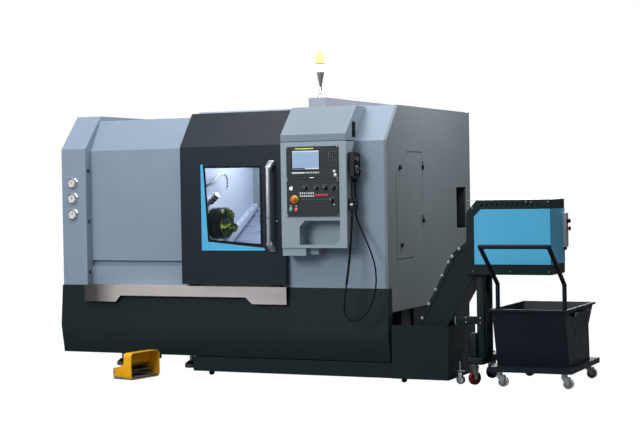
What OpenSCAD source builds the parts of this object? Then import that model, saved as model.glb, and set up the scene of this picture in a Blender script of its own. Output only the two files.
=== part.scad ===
// Slant bed lathe with chip conveyor, chip cart and foot switch.
// Lengths are in millimetres. X runs along the spindle, Y to the back, Z up.

/* [Enclosure] */
// Depth of the enclosure from front cover to rear cover
body_depth = 1893; // [1850:1:2000]
// Height of the roof
roof_z = 2070; // [2050:1:2100]
// Height of the fold where the front covers start to lean back
fold_z = 1800; // [1790:1:1815]
// How far the front covers lean back between fold and roof
slope_run = 245; // [235:1:255]
// Height of the seam between the grey covers and the dark skirt
skirt_top = 700; // [690:1:705]
// Thickness of the roof slab
roof_t = 40; // [30:1:45]
// Thickness of the folded sheet covers
sheet_t = 20; // [12:1:22]
// Width of the left end cover
end_w = 228; // [200:1:240]
// Width of the headstock cover
headstock_w = 922; // [900:1:1000]
// Width of the covers right of the control column
right_w = 256; // [250:1:300]
// How far the headstock cover lies behind the front plane
panel_recess = 75; // [70:1:90]
// Height of the lower edge of the headstock cover
panel_z = 896; // [880:1:920]

/* [Bed and skirt] */
// Height of the lower edge of the skirt and bed
skirt_z = 155; // [150:1:165]
// Height of the crease along the skirt
crease_z = 374; // [350:1:400]
// How far the skirt bulges forward at its crease
bulge = 30; // [20:1:35]
// Depth of the skirt behind the front plane
skirt_t = 60; // [50:1:60]
// How far the skirt overhangs the left end cover
overhang = 13; // [8:1:16]
// Slant of the bed and its way cover in degrees
bed_slant = 30; // [28:1:32]
// Diameter of a levelling foot
foot_d = 120; // [100:1:140]

/* [Chamber and spindle] */
// Width of the closed housing right of the work chamber
housing_w = 496; // [480:1:520]
// Depth of the work chamber behind the front plane
chamber_y = 1160; // [1150:1:1200]
// Thickness of the chamber lining
lining_t = 20; // [15:1:20]
// Depth of the spindle axis behind the front plane
spindle_y = 350; // [345:1:360]
// Height of the spindle axis
spindle_z = 1183; // [1175:1:1195]
// Chuck diameter
chuck_d = 254; // [240:1:260]
// Chuck width along the spindle
chuck_w = 120; // [110:1:130]
// Diameter of the hole through the chuck
chuck_bore_d = 76; // [70:1:80]
// Diameter of the spindle in its housing
spindle_d = 120; // [110:1:130]
// Radial running clearance of shafts and pins
run_gap = 0.05; // [0.03:0.01:0.08]

/* [Front door] */
// Width of the sliding door
door_w = 905; // [895:1:912]
// How far the closed door covers the headstock cover
door_lap = 20; // [16:1:25]
// Height of the lower edge of the sliding door
door_z = 720; // [716:1:724]
// How far the door stands in front of the front plane
door_out = 50; // [48:1:56]
// Thickness of the sliding door
door_t = 40; // [36:1:42]
// Diameter of the door handle bar
handle_d = 30; // [26:1:34]
// Thickness of the window pane
glass_t = 8; // [6:1:10]

/* [Control column] */
// Gap between the closed door and the control column
column_gap = 21; // [15:1:40]
// Width of the control column
column_w = 534; // [525:1:540]
// Depth of the control column
column_d = 160; // [150:1:175]
// Height of the lower edge of the control column
column_z = 1007; // [1000:1:1015]
// Height of the display unit
display_h = 246; // [240:1:250]
// Width of the display unit and operator panel
display_w = 423; // [418:1:425]

/* [Chip conveyor and tank] */
// Width of the conveyor housing
conveyor_w = 250; // [240:1:260]
// Depth of the conveyor's front face behind the front plane
conveyor_y = 100; // [96:1:105]
// Distance from the enclosure's right side to the discharge head
head_gap = 584; // [580:1:588]
// Length of the discharge head
head_len = 635; // [625:1:645]
// Depth of the discharge head
head_d = 355; // [345:1:365]
// Height of the underside of the discharge head
head_z = 806; // [800:1:810]
// Height of the discharge head
head_h = 539; // [530:1:545]
// Height of the open end of the coolant tank
tank_h = 430; // [420:1:440]
// Ground clearance of the coolant tank
tank_z = 37; // [35:1:40]

/* [Chip cart] */
// Length of the cart base along the machine
cart_w = 620; // [600:1:640]
// Depth of the cart base
cart_d = 800; // [780:1:820]
// How far the cart base stands right of the head's left face
cart_gap = 170; // [168:1:176]
// Height of the bin rim
rim_z = 565; // [550:1:580]
// Diameter of the cart handle tube
tube_d = 32; // [28:1:34]
// Diameter of a cart wheel
wheel_d = 75; // [70:1:76]
// Width of a cart wheel
wheel_w = 26; // [22:1:28]

/* [Foot switch] */
// Width of the foot switch guard
guard_w = 340; // [320:1:350]
// Length of the foot switch guard
guard_len = 250; // [240:1:255]
// Height of the foot switch guard
guard_h = 210; // [200:1:220]

/* [Hidden] */
$fn = 48;

seat = 0.3;
chamber_x0 = end_w + headstock_w;
door_x = chamber_x0 - door_lap;
door_x1 = door_x + door_w;
column_x = door_x1 + column_gap;
column_x1 = column_x + column_w;
body_len = column_x1 + right_w;
chamber_x1 = body_len - housing_w;
head_x = body_len + head_gap;
cart_x = head_x + cart_gap;
guard_at = [665, -215];
guard_turn = -10;
guard_front = guard_at[1] + guard_len * sin(guard_turn) - guard_w / 2 * cos(guard_turn);
origin = [(cart_x + cart_w - overhang) / 2, (body_depth + guard_front) / 2, 0];

slope_a = atan2(roof_z - fold_z, slope_run);
ledge_t = 4;
inner_top = roof_z - roof_t;
roof_y = slope_run + 85;
surround_t = 60;
surround_fold = fold_z - 45;
rear_t = 12;
skin_x = body_len - sheet_t;
bed_y = skirt_t + 2;

// Extrudes a Y-Z outline along X
module across(x0, x1) {
    translate([x0, 0, 0]) rotate([90, 0, 90]) linear_extrude(x1 - x0) children();
}

// Extrudes an X-Z outline along Y
module into(y0, y1) {
    translate([0, y1, 0]) rotate([90, 0, 0]) linear_extrude(y1 - y0) children();
}

// Box between two corners
module block(low, high) {
    translate(low) cube(high - low);
}

// Round bar between two points
module bar(p, q, d) {
    v = q - p;
    translate(p) rotate([0, acos(v[2] / norm(v)), atan2(v[1], v[0])])
        cylinder(h = norm(v), d = d);
}

// Moves the machine frame to the part's origin
module place() {
    translate(-origin) children();
}

// Outline of a cover that stands upright and then leans back, inset by t
function folded(front, fold, run, top, t, z0, y1) =
    let (a = atan2(top - fold, run))
    [[front + t, z0], [front + t, fold - t * tan((90 - a) / 2)],
     [front + run + t * tan(a / 2), top - t], [y1, top - t], [y1, z0]];

// The same outline as a bent sheet of thickness t
function folded_sheet(front, fold, run, top, t, z0, y1) =
    let (a = atan2(top - fold, run))
    [[front, z0], [front, fold], [front + run, top], [y1, top], [y1, top - t],
     [front + run + t * tan(a / 2), top - t], [front + t, fold - t * tan((90 - a) / 2)],
     [front + t, z0]];

// Chip slot and conveyor tunnel in the bed
tunnel_y0 = conveyor_y - 8;
tunnel_y1 = conveyor_y + conveyor_w + 8;
slot_x0 = chamber_x0 + 70;
slot_x1 = chamber_x1 - 50;
tunnel_z = 520;
belt_low = 190;
belt_top = 400;

// Slanted surface of the way cover
way_y = tunnel_y1 + 2;
way_z = 812;
way_t = 20;
function slant_z(y) = way_z + (y - way_y) * tan(bed_slant);
wall_y = chamber_y - lining_t;

module bed_casting() {
    color("darkslategray") place() {
        difference() {
            block([overhang + 17, bed_y, skirt_z + 5], [skin_x - sheet_t - 1, body_depth - 30, skirt_top]);
            block([slot_x0, tunnel_y0, skirt_z], [body_len, tunnel_y1, tunnel_z]);
            block([slot_x0, tunnel_y0, tunnel_z - 1], [slot_x1, tunnel_y1, skirt_top + 1]);
        }
        across(chamber_x0 + lining_t + 1, chamber_x1 - lining_t - 1)
            polygon([[way_y + way_t, skirt_top], [way_y + way_t, slant_z(way_y + way_t) - way_t],
                     [wall_y, slant_z(wall_y) - way_t], [wall_y, skirt_top]]);
    }
}

foot_in = 250;
foot_y = body_depth - 243;
feet = [[foot_in, 500], [foot_in, 1000], [foot_in, foot_y], [chamber_x0 - foot_in, 500],
        [chamber_x0 - foot_in, foot_y], [column_x - 460, 1000], [column_x - 460, foot_y],
        [body_len - foot_in, 1000], [body_len - foot_in, foot_y]];

module levelling_feet() {
    color("gray") place()
        for (p = feet)
            translate([p[0], p[1], 0]) {
                cylinder(h = 30, d = foot_d);
                translate([0, 0, 30]) cylinder(h = 25, d1 = foot_d, d2 = foot_d / 2);
                cylinder(h = skirt_z + 5, d = foot_d / 3);
            }
}

module front_skirt() {
    color("darkslategray") place()
        across(-overhang, body_len + 4)
            polygon([[skirt_t, skirt_top], [0, skirt_top], [-bulge, crease_z],
                     [10, skirt_z], [skirt_t, skirt_z]]);
}

side_skirt_y = 560;

module base_skirts() {
    color("darkslategray") place()
        difference() {
            block([-overhang, skirt_t, skirt_z], [skin_x, body_depth, skirt_top]);
            block([-overhang + 29, skirt_t - 1, skirt_z - 1],
                  [skin_x - sheet_t, body_depth - 29, skirt_top + 1]);
            block([skin_x - sheet_t - 1, skirt_t - 1, skirt_z - 1],
                  [skin_x + 1, side_skirt_y, skirt_top + 1]);
        }
}

strip_x0 = end_w - 6;
strip_x1 = door_x1 - 7;
strip_mid_z = 622;
strip_tab_z = 572;
rail_out = door_out - 8;

module drip_strip() {
    color("lightgray") place() {
        into(-rail_out, -rail_out + 3)
            polygon([[strip_x0, skirt_top + ledge_t], [strip_x0, strip_tab_z],
                     [strip_x0 + 293, strip_tab_z], [strip_x0 + 336, strip_mid_z],
                     [strip_x1 - 348, strip_mid_z], [strip_x1 - 294, strip_tab_z],
                     [strip_x1, strip_tab_z], [strip_x1, skirt_top + ledge_t]]);
        block([end_w, -rail_out, skirt_top], [strip_x1, panel_recess - seat, skirt_top + ledge_t]);
    }
}

module left_end_cover() {
    color("lightslategray") place()
        across(0, end_w)
            polygon(folded(0, fold_z, slope_run, roof_z, 0, skirt_top, body_depth));
}

module cover_latches() {
    color("black") place()
        for (z = [1622, 1211, 803])
            translate([end_w, 38, z]) rotate([0, 90, 0]) cylinder(h = 8, d = 22);
}

gauge_d = 80;

module pressure_gauges() {
    color("silver") place()
        for (z = [1526, 1402, 1272])
            translate([105, 0, z]) rotate([90, 0, 0]) {
                cylinder(h = 18, d = gauge_d);
                difference() {
                    translate([0, 0, 18]) cylinder(h = 8, d = gauge_d);
                    translate([0, 0, 20]) cylinder(h = 7, d = gauge_d - 12);
                }
            }
}

panel_fold = fold_z - 17;

module headstock_cover() {
    color("lightslategray") place()
        difference() {
            across(end_w, chamber_x0)
                polygon(folded(panel_recess, panel_fold, 155, inner_top, 0, panel_z, chamber_y));
            translate([chamber_x0 - 110, spindle_y, spindle_z]) rotate([0, 90, 0])
                cylinder(h = 111, d = spindle_d + 20);
        }
}

post_w = 28;

module headstock_lower_cover() {
    color("lightslategray") place()
        difference() {
            across(end_w, chamber_x0)
                polygon([[panel_recess, skirt_top], [panel_recess, panel_z - 45],
                         [panel_recess + 30, panel_z - 45], [panel_recess + 30, panel_z],
                         [chamber_y, panel_z], [chamber_y, skirt_top]]);
            block([end_w + post_w, panel_recess - 1, skirt_top + ledge_t],
                  [end_w + post_w + 7, panel_recess + 8, panel_z - 44]);
        }
}

service_y0 = body_depth - 353;
service_y1 = service_y0 + 240;
service_z0 = 1097;
service_z1 = 1440;
service_depth = 150;

module rear_housing() {
    color("lightslategray") place()
        difference() {
            block([end_w, chamber_y, skirt_top], [skin_x, body_depth - rear_t, inner_top]);
            block([skin_x - service_depth, service_y0, service_z0],
                  [skin_x + 1, service_y1, service_z1]);
        }
}

cover_pitch = (skin_x - end_w) / 3;

module rear_covers() {
    color("lightslategray") place()
        for (i = [0:2])
            block([end_w + 20 + i * cover_pitch, body_depth - rear_t, skirt_top + 20],
                  [end_w + (i + 1) * cover_pitch, body_depth, inner_top - 20]);
}

module roof_panel() {
    color("lightslategray") place()
        block([chamber_x0, roof_y, inner_top], [skin_x, body_depth, roof_z]);
}

opening_x0 = chamber_x0 + 65;
opening_x1 = door_x1 - 60;
opening_z0 = 770;
opening_z1 = 1985;
surround_x1 = door_x1 + 7;

module door_surround() {
    color("lightslategray") place()
        difference() {
            across(chamber_x0, surround_x1)
                polygon(folded_sheet(0, surround_fold, slope_run, roof_z, surround_t,
                                     skirt_top + ledge_t, roof_y));
            block([opening_x0, -10, opening_z0], [opening_x1, slope_run, opening_z1]);
        }
}

module right_front_cover() {
    color("lightslategray") place()
        across(surround_x1, skin_x)
            polygon(folded_sheet(0, fold_z, slope_run, roof_z, sheet_t, skirt_top, roof_y));
}

hatch_y0 = 190;
hatch_y1 = 736;
hatch_z0 = 910;
hatch_z1 = 1715;
hatch_gap = 6;

// Outline of the side door, grown by g
function hatch(g) =
    let (a = atan2(220, 179), b = atan2(165, 237))
    [[hatch_y0 - g, hatch_z0 - g], [hatch_y1 - 179 + g * tan(a / 2), hatch_z0 - g],
     [hatch_y1 + g, hatch_z0 + 220 - g * tan((90 - a) / 2)], [hatch_y1 + g, hatch_z1 + g],
     [hatch_y0 + 237 - g * tan(b / 2), hatch_z1 + g],
     [hatch_y0 - g, hatch_z1 - 165 + g * tan((90 - b) / 2)]];

side_z = 520;

module right_side_cover() {
    color("slategray") place()
        difference() {
            across(skin_x, body_len)
                polygon([[0, skirt_top], [0, fold_z], [slope_run, roof_z], [body_depth, roof_z],
                         [body_depth, side_z], [skirt_t + seat, side_z],
                         [skirt_t + seat, skirt_top]]);
            across(skin_x - 1, body_len + 1) polygon(hatch(hatch_gap));
            block([skin_x - 1, service_y0, service_z0], [body_len + 1, service_y1, service_z1]);
        }
}

hatch_recess = 180;

module right_housing() {
    color("slategray") place()
        difference() {
            across(chamber_x1, skin_x)
                polygon(folded(0, fold_z, slope_run, roof_z, roof_t + seat, skirt_top, chamber_y));
            across(skin_x - hatch_recess, skin_x + 1) polygon(hatch(-20));
        }
}

lining_in = surround_t + seat;

module chamber_lining() {
    color("lavender") place()
        difference() {
            across(chamber_x0, chamber_x1)
                polygon(folded(0, surround_fold, slope_run, roof_z, lining_in,
                               skirt_top + ledge_t, chamber_y));
            block([chamber_x0 + lining_t, 0, skirt_top - 1],
                  [chamber_x1 - lining_t, wall_y, roof_z - lining_in - lining_t]);
            block([chamber_x0 + lining_t, 0, skirt_top - 1],
                  [chamber_x1 - lining_t, roof_y, roof_z]);
            translate([chamber_x0 - 1, spindle_y, spindle_z]) rotate([0, 90, 0])
                cylinder(h = lining_t + 2, d = spindle_d + 20);
        }
}

way_x0 = chamber_x0 + lining_t + 1;
way_x1 = chamber_x1 - lining_t - 1;
way_plates = 4;
way_step = 210;
way_lip = 4;
way_far = wall_y - seat;

// Side outline of a telescopic plate that lies between two heights above the lowest one
function way_plate(low, high) =
    [[way_y - high, skirt_top + 4 * high], [way_y - high, slant_z(way_y) + high],
     [way_far, slant_z(way_far) + high], [way_far, slant_z(way_far) + low],
     [way_y - low, slant_z(way_y) + low], [way_y - low, skirt_top + 4 * high]];

module way_cover() {
    color("gainsboro") place() {
        across(way_x0, way_x1)
            polygon([[way_y, skirt_top], [way_y, slant_z(way_y)], [wall_y, slant_z(wall_y)],
                     [wall_y, slant_z(wall_y) - way_t + seat],
                     [way_y + way_t - seat, slant_z(way_y + way_t - seat) - way_t + seat],
                     [way_y + way_t - seat, skirt_top]]);
        for (i = [1:way_plates - 1]) {
            across(way_x0, way_x1 - i * way_step) polygon(way_plate((i - 1) * way_lip, i * way_lip));
            across(way_x1 - i * way_step - 12, way_x1 - i * way_step)
                polygon(way_plate(i * way_lip, (i + 0.7) * way_lip));
        }
    }
}

nose_x = chamber_x0 + lining_t;
chuck_x = nose_x + 36;

module spindle_nose() {
    color("silver") place()
        translate([nose_x, spindle_y, spindle_z]) rotate([0, 90, 0])
            difference() {
                cylinder(h = 30, d = 200);
                translate([0, 0, -1]) cylinder(h = 32, d = spindle_d + 2 * run_gap);
            }
}

lamp_d = 54;
lamp_tilt = 48;

module work_lamp() {
    color("dimgray") place() {
        block([nose_x, 285, 1318], [nose_x + 10, 335, 1358]);
        translate([nose_x + 15, 310, 1338]) rotate([0, lamp_tilt, 0])
            rotate_extrude()
                polygon([[0, -8], [12, -8], [12, 14], [lamp_d / 2, 14],
                         for (i = [0:4]) each [[lamp_d / 2, 20 + 12 * i], [lamp_d / 2 - 3, 20 + 12 * i],
                                               [lamp_d / 2 - 3, 26 + 12 * i], [lamp_d / 2, 26 + 12 * i]],
                         [lamp_d / 2, 104], [lamp_d / 2 - 6, 110], [0, 110]]);
    }
}

nozzle_x = nose_x + 80;
nozzle = [[nose_x + 24, 215, 1500], [nozzle_x, 240, 1515], [nozzle_x, 330, 1550],
          [nozzle_x, 430, 1572], [nozzle_x, 520, 1560], [nozzle_x, 572, 1525],
          [nozzle_x, 560, 1480], [nozzle_x, 545, 1440]];

module coolant_nozzle() {
    color("silver") place() {
        block([nose_x, 195, 1480], [nose_x + 24, 235, 1520]);
        for (i = [0:len(nozzle) - 2])
            bar(nozzle[i], nozzle[i + 1], 20);
        for (i = [1:len(nozzle) - 2])
            translate(nozzle[i]) sphere(d = 26);
    }
}

module chuck() {
    color("darkolivegreen") place()
        translate([chuck_x, spindle_y, spindle_z]) rotate([0, 90, 0])
            difference() {
                union() {
                    rotate_extrude()
                        polygon([[0, 0], [chuck_d / 2 - 6, 0], [chuck_d / 2, 6],
                                 [chuck_d / 2, chuck_w - 9], [chuck_d / 2 - 9, chuck_w], [0, chuck_w]]);
                    translate([0, 0, -96]) cylinder(h = 97, d = spindle_d);
                }
                translate([0, 0, 30]) cylinder(h = chuck_w, d = chuck_bore_d);
                translate([0, 0, chuck_w / 2 - 4])
                    difference() {
                        cylinder(h = 8, d = chuck_d + 2);
                        translate([0, 0, -1]) cylinder(h = 10, d = chuck_d - 8);
                    }
            }
}

jaw_w = 42;
jaw_base = 16;
jaw_step = 20;
jaw_grip = [46, 66, 86];

// One soft-edged step of a top jaw, cut to the curve of the work it grips
module jaw_part(r0, r1, z0, z1) {
    translate([0, 0, z0]) intersection() {
        translate([0, -jaw_w / 2, 0]) cube([r1, jaw_w, z1 - z0]);
        difference() {
            cylinder(h = z1 - z0, r = r1);
            translate([0, 0, -1]) cylinder(h = z1 - z0 + 2, r = r0);
        }
    }
}

module chuck_jaws() {
    color("darkgray") place()
        translate([chuck_x + chuck_w, spindle_y, spindle_z]) rotate([0, 90, 0])
            for (a = [0, 120, 240])
                rotate([0, 0, a + 60])
                    difference() {
                        union() {
                            jaw_part(jaw_grip[0], chuck_d / 2 - 8, 0, jaw_base);
                            jaw_part(jaw_grip[0], jaw_grip[2] + jaw_step, jaw_base, 2 * jaw_step);
                            jaw_part(jaw_grip[0], jaw_grip[1] + jaw_step, 2 * jaw_step, 3 * jaw_step - 4);
                        }
                        for (s = [-1, 1], r = [jaw_grip[0] + 16 : 8 : chuck_d / 2 - 12])
                            translate([r, s * jaw_w / 2, jaw_base]) rotate([0, 45, 0])
                                cube([3, 5, 3], center = true);
                        for (r = [jaw_grip[0] + 12, jaw_grip[1] + 10, jaw_grip[2] + 12])
                            translate([r, 0, jaw_base + 8]) cylinder(h = 3 * jaw_step, d = 13);
                    }
}

door_fold = fold_z - 12;
door_run = 207;
door_top = roof_z - 15;
// Window outline in X and Z, top left corner first, grown by g
function window(g) = [[door_x + 212 - g, 1628 + g], [door_x1 - 205 + g, 1623 + g],
                      [door_x1 - 203 + g, 1023 - g], [door_x + 244 - g, 1058 - g]];
shoe_len = 80;

module sliding_door() {
    color([0.15, 0.17, 0.19]) place() {
        difference() {
            across(door_x, door_x1)
                polygon(concat([[-door_out, door_z], [-door_out, door_fold],
                                [door_run - door_out, door_top], [door_run - door_out + 30, door_top],
                                [door_run - door_out + 30, door_top - 6]],
                               [for (i = [2:-1:0])
                                    let (p = folded(-door_out, door_fold, door_run, door_top, door_t,
                                                    door_z, 300)[i])
                                    i == 2 ? [p[0] - 14, p[1] + 1] : p]));
            into(-door_out - 1, 0) polygon(window(0));
            into(-door_out + 15, 0) polygon(window(15));
        }
        for (x = [door_x + 60, door_x1 - 60 - shoe_len])
            block([x, -door_out + 12, skirt_top + ledge_t + seat], [x + shoe_len, -door_out + 32, door_z]);
    }
}

module door_glass() {
    color([0.7, 0.8, 0.9, 0.4]) place()
        into(-door_out + 15, -door_out + 15 + glass_t) polygon(window(15 - seat));
}

trim_t = 2;

module door_trim() {
    color("deepskyblue") place()
        into(-door_out - trim_t, -door_out)
            polygon([[door_x + 183, 1649], [door_x + 183, 983], [door_x1 - 177, 983],
                     [door_x1 - 179, 1002], [door_x + 243, 1050], [door_x + 202, 1649]]);
}

handle_x = door_x1 - 108;
handle_y = -door_out - 70;
handle_z0 = 1050;
handle_z1 = 1596;
handle_bend = 55;

module door_handle() {
    color("silver") place() {
        for (s = [[handle_z0 - handle_bend, handle_z0], [handle_z1 + handle_bend, handle_z1]]) {
            difference() {
                bar([handle_x, -door_out, s[0]], [handle_x, handle_y, s[1]], handle_d);
                block([handle_x - 50, -door_out, s[0] - 50], [handle_x + 50, 0, s[0] + 50]);
            }
            translate([handle_x, handle_y, s[1]]) sphere(d = handle_d + 2);
            translate([handle_x, -door_out, s[0]]) rotate([90, 0, 0]) cylinder(h = 10, d = 62);
        }
        bar([handle_x, handle_y, handle_z0], [handle_x, handle_y, handle_z1], handle_d);
    }
}

hinge_pin_d = 8;
hinge_d = 16;
hinge_x = body_len + hinge_d / 2 + 1;
hinge_y = hatch_y1 + hatch_gap;
hinge_half = 30;
hinge_zs = [1615, 1201];

module side_door() {
    color("slategray") place()
        difference() {
            union() {
                across(skin_x + 3, body_len) polygon(hatch(0));
                for (z = hinge_zs) {
                    block([body_len, hinge_y - 42, z], [body_len + 3, hinge_y - 2, z + hinge_half]);
                    translate([hinge_x, hinge_y, z]) cylinder(h = hinge_half, d = hinge_d);
                }
                for (p = [[262, 1599], [278, 1012]])
                    translate([body_len, p[0], p[1]]) rotate([0, 90, 0]) cylinder(h = 12, d = 30);
            }
            for (z = hinge_zs)
                translate([hinge_x, hinge_y, z - 1])
                    cylinder(h = hinge_half + 2, d = hinge_pin_d + 2 * run_gap);
        }
}

module side_door_hinges() {
    color("black") place()
        for (z = hinge_zs) {
            block([body_len, hinge_y + 2, z - hinge_half], [body_len + 3, hinge_y + 42, z - seat]);
            translate([hinge_x, hinge_y, z - hinge_half])
                cylinder(h = hinge_half - seat, d = hinge_d);
            translate([hinge_x, hinge_y, z - hinge_half])
                cylinder(h = 2 * hinge_half, d = hinge_pin_d);
        }
}

unit_inset = 60;
unit_z = service_z1 - 110;
unit_h = 40;
bowl_h = 130;
unit_face = skin_x - 70;

module air_service_unit() {
    color("silver") place() {
        block([skin_x - service_depth, service_y0 + unit_inset, unit_z],
              [unit_face, service_y1 - unit_inset, unit_z + unit_h]);
        for (y = [service_y0 + unit_inset + 30, service_y1 - unit_inset - 30]) {
            translate([unit_face - 30, y, unit_z - bowl_h]) cylinder(h = bowl_h, d = 46);
            translate([unit_face - 30, y, unit_z + unit_h]) cylinder(h = 40, d = 32);
        }
        translate([unit_face, (service_y0 + service_y1) / 2, unit_z + unit_h / 2])
            rotate([0, 90, 0]) cylinder(h = 25, d = 40);
    }
}

tray_x0 = column_x + 148;
tray_x1 = column_x1 - 58;
tray_z0 = 1031;
tray_z1 = 1211;
tray_depth = 125;
column_top = fold_z - 3;

module control_column() {
    color("lightslategray") place() {
        difference() {
            block([column_x, -column_d, column_z], [column_x1, 0, column_top]);
            into(-column_d - 1, -column_d + tray_depth)
                polygon([[tray_x0, tray_z0], [tray_x1 - 34, tray_z0], [tray_x1, tray_z0 + 38],
                         [tray_x1, tray_z1], [tray_x0 + 46, tray_z1], [tray_x0, tray_z1 - 46]]);
        }
        block([column_x, -column_d + 10, column_z - 58], [column_x + 194, 0, column_z]);
        block([column_x + 194, -column_d + 60, column_z - 50], [column_x + 274, 0, column_z]);
    }
}

hood_z = fold_z + 3;
hood_top = roof_z - 4;
function slope_y(z) = (z - fold_z) / tan(slope_a);

module column_hood() {
    color("lightslategray") place() {
        difference() {
            across(column_x, column_x1)
                polygon([[-column_d, hood_z], [-column_d, hood_z + 50], [50, hood_top],
                         [223, hood_top], [slope_y(hood_top - 22) - 1, hood_top - 22],
                         [slope_y(hood_z) - 1, hood_z]]);
            block([column_x1 - 30, -40, hood_z + 22], [column_x1 + 1, 26, hood_z + 140]);
        }
        across(column_x + 5, column_x1 - 5)
            polygon([[-column_d + 5, column_top], [-column_d + 5, hood_z],
                     [-1, hood_z], [-1, column_top]]);
    }
}

panel_out = 10;
display_x = column_x + 51;
display_z = 1517;

module display_unit() {
    color("darkslategray") place()
        difference() {
            block([display_x, -column_d - panel_out, display_z + 2],
                  [display_x + display_w, -column_d, display_z + display_h]);
            block([display_x + 47, -column_d - panel_out - 1, display_z + 75],
                  [display_x + 269, -column_d - panel_out + 4, display_z + 217]);
        }
}

operator_z = 1243;

module operator_panel() {
    color("darkslategray") place()
        block([display_x, -column_d - panel_out, operator_z],
              [display_x + display_w, -column_d, display_z - 1]);
}

// Places of the rotary switches on the operator panel, from its lower left corner
knobs = [[155, 210], [245, 210], [317, 213], [383, 210], [368, 117]];
// Places of the lamp and the two cycle buttons
lamps = [[40, 209], [34, 53], [77, 52]];
stop_at = [65, 128];

// Turned knob on the operator panel, from a profile of radius and height
module knob(p, profile) {
    translate([display_x + p[0], -column_d - panel_out, operator_z + p[1]]) rotate([90, 0, 0])
        rotate_extrude() polygon(profile);
}

module panel_controls() {
    color("dimgray") place() {
        for (p = knobs)
            knob(p, [[0, 0], [17, 0], [17, 3], [14, 4], [13, 20], [11, 22], [0, 22]]);
        for (p = lamps)
            knob(p, [[0, 0], [15, 0], [15, 5], [12, 7], [11, 10], [0, 10]]);
        knob(stop_at, [[0, 0], [31, 0], [30, 3], [13, 3], [13, 20], [22, 21], [23, 25], [23, 31],
                       [18, 36], [0, 37]]);
    }
}

pendant_y0 = -128;
pendant_y1 = -12;
pendant_z0 = 1540;
pendant_z1 = 1715;
pendant_t = 42;
cord_d = 12;
clip_z0 = 1290;
clip_z1 = 1370;
cord_in = [column_x1 + 22, -column_d + 48];
cord_out = [column_x1 + 22, -column_d + 108];

module pendant() {
    color("black") place() {
        block([column_x1, pendant_y0 + 10, pendant_z0 + 30],
              [column_x1 + 6, pendant_y1 - 10, pendant_z1 - 50]);
        across(column_x1 + 6, column_x1 + 6 + pendant_t)
            polygon([[pendant_y0, pendant_z0], [pendant_y1, pendant_z0], [pendant_y1, pendant_z1 - 46],
                     [pendant_y1 - 34, pendant_z1], [pendant_y0, pendant_z1]]);
        translate([column_x1 + 6 + pendant_t, pendant_y0 + 40, pendant_z0 + 44]) rotate([0, 90, 0])
            cylinder(h = 11, d = 60);
        translate([column_x1 + 6 + pendant_t, pendant_y0 + 34, pendant_z0 + 120]) rotate([0, 90, 0])
            cylinder(h = 18, d = 44);
        translate([cord_in[0], cord_in[1], pendant_z0 - 20]) cylinder(h = 20, d = 20);
        difference() {
            block([column_x1, cord_in[1] - 16, clip_z0], [cord_in[0] + 12, cord_out[1] + 16, clip_z1]);
            for (p = [cord_in, cord_out])
                translate([p[0], p[1], clip_z0 - 1])
                    cylinder(h = clip_z1 - clip_z0 + 2, d = cord_d + 2 * seat);
        }
        block([column_x1, cord_out[1] - 14, 1490], [cord_out[0] + 14, cord_out[1] + 14, 1520]);
    }
}

// Route of the pendant cable, from the pendant's gland to the junction block
route = [[2612, -112, 1520], [2612, -112, 1450], [2612, -112, 1370], [2612, -112, 1290],
         [2612, -122, 1200], [2611, -136, 1100], [2608, -150, 1000], [2600, -158, 900],
         [2588, -162, 800], [2574, -164, 700], [2560, -164, 610], [2560, -162, 540],
         [2585, -158, 490], [2630, -152, 472], [2685, -144, 490], [2735, -136, 545],
         [2772, -128, 620], [2792, -120, 710], [2794, -112, 800], [2780, -104, 890],
         [2748, -96, 980], [2706, -86, 1070], [2660, -74, 1160], [2622, -60, 1240],
         [2612, -52, 1290], [2612, -52, 1370], [2612, -52, 1430], [2612, -52, 1490]];

cord_sides = 8;
// Direction of the route at point i
function heading(i) =
    let (v = route[min(i + 1, len(route) - 1)] - route[max(i - 1, 0)]) v / norm(v);
// Ring of points round the route at point i
function ring(i) =
    let (t = heading(i), u = cross(t, [0, 1, 0]), n = u / norm(u), b = cross(t, n))
    [for (k = [0:cord_sides - 1])
        route[i] + cord_d / 2 * (cos(k * 360 / cord_sides) * n + sin(k * 360 / cord_sides) * b)];

module pendant_cable() {
    n = len(route);
    color("black") place()
        polyhedron(
            points = [for (i = [0:n - 1]) each ring(i)],
            faces = concat(
                [[for (k = [cord_sides - 1:-1:0]) k]],
                [for (i = [0:n - 2]) for (k = [0:cord_sides - 1])
                    let (a = i * cord_sides + k, b = i * cord_sides + (k + 1) % cord_sides)
                    each [[a, b, b + cord_sides], [a, b + cord_sides, a + cord_sides]]],
                [[for (k = [0:cord_sides - 1]) (n - 1) * cord_sides + k]]));
}

duct_x0 = column_x + 36;
duct_x1 = duct_x0 + 148;

module roof_duct() {
    color("lightslategray") place()
        block([duct_x0, roof_y - 50, roof_z], [duct_x1, body_depth - 60, roof_z + 80]);
}

module signal_tower() {
    color("silver") place()
        translate([duct_x0 + 69, roof_y + 30, roof_z + 80])
            rotate_extrude()
                polygon([[0, 0], [26, 0], [26, 18], [9, 84], [9, 96], [28, 200], [30, 204],
                         [37, 208], [37, 350], [30, 360], [0, 360]]);
}

conveyor_y1 = conveyor_y + conveyor_w;

incline_x0 = body_len + 284;
incline_x1 = head_x + 54;
bend_x = body_len + 176;
crest_x = body_len + 451;
belt_x0 = slot_x0 + 30;
trough_t = 10;
strand_z = belt_top - 70;
link = 40;
links = floor((bend_x - belt_x0 - 2 * trough_t) / link);

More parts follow.
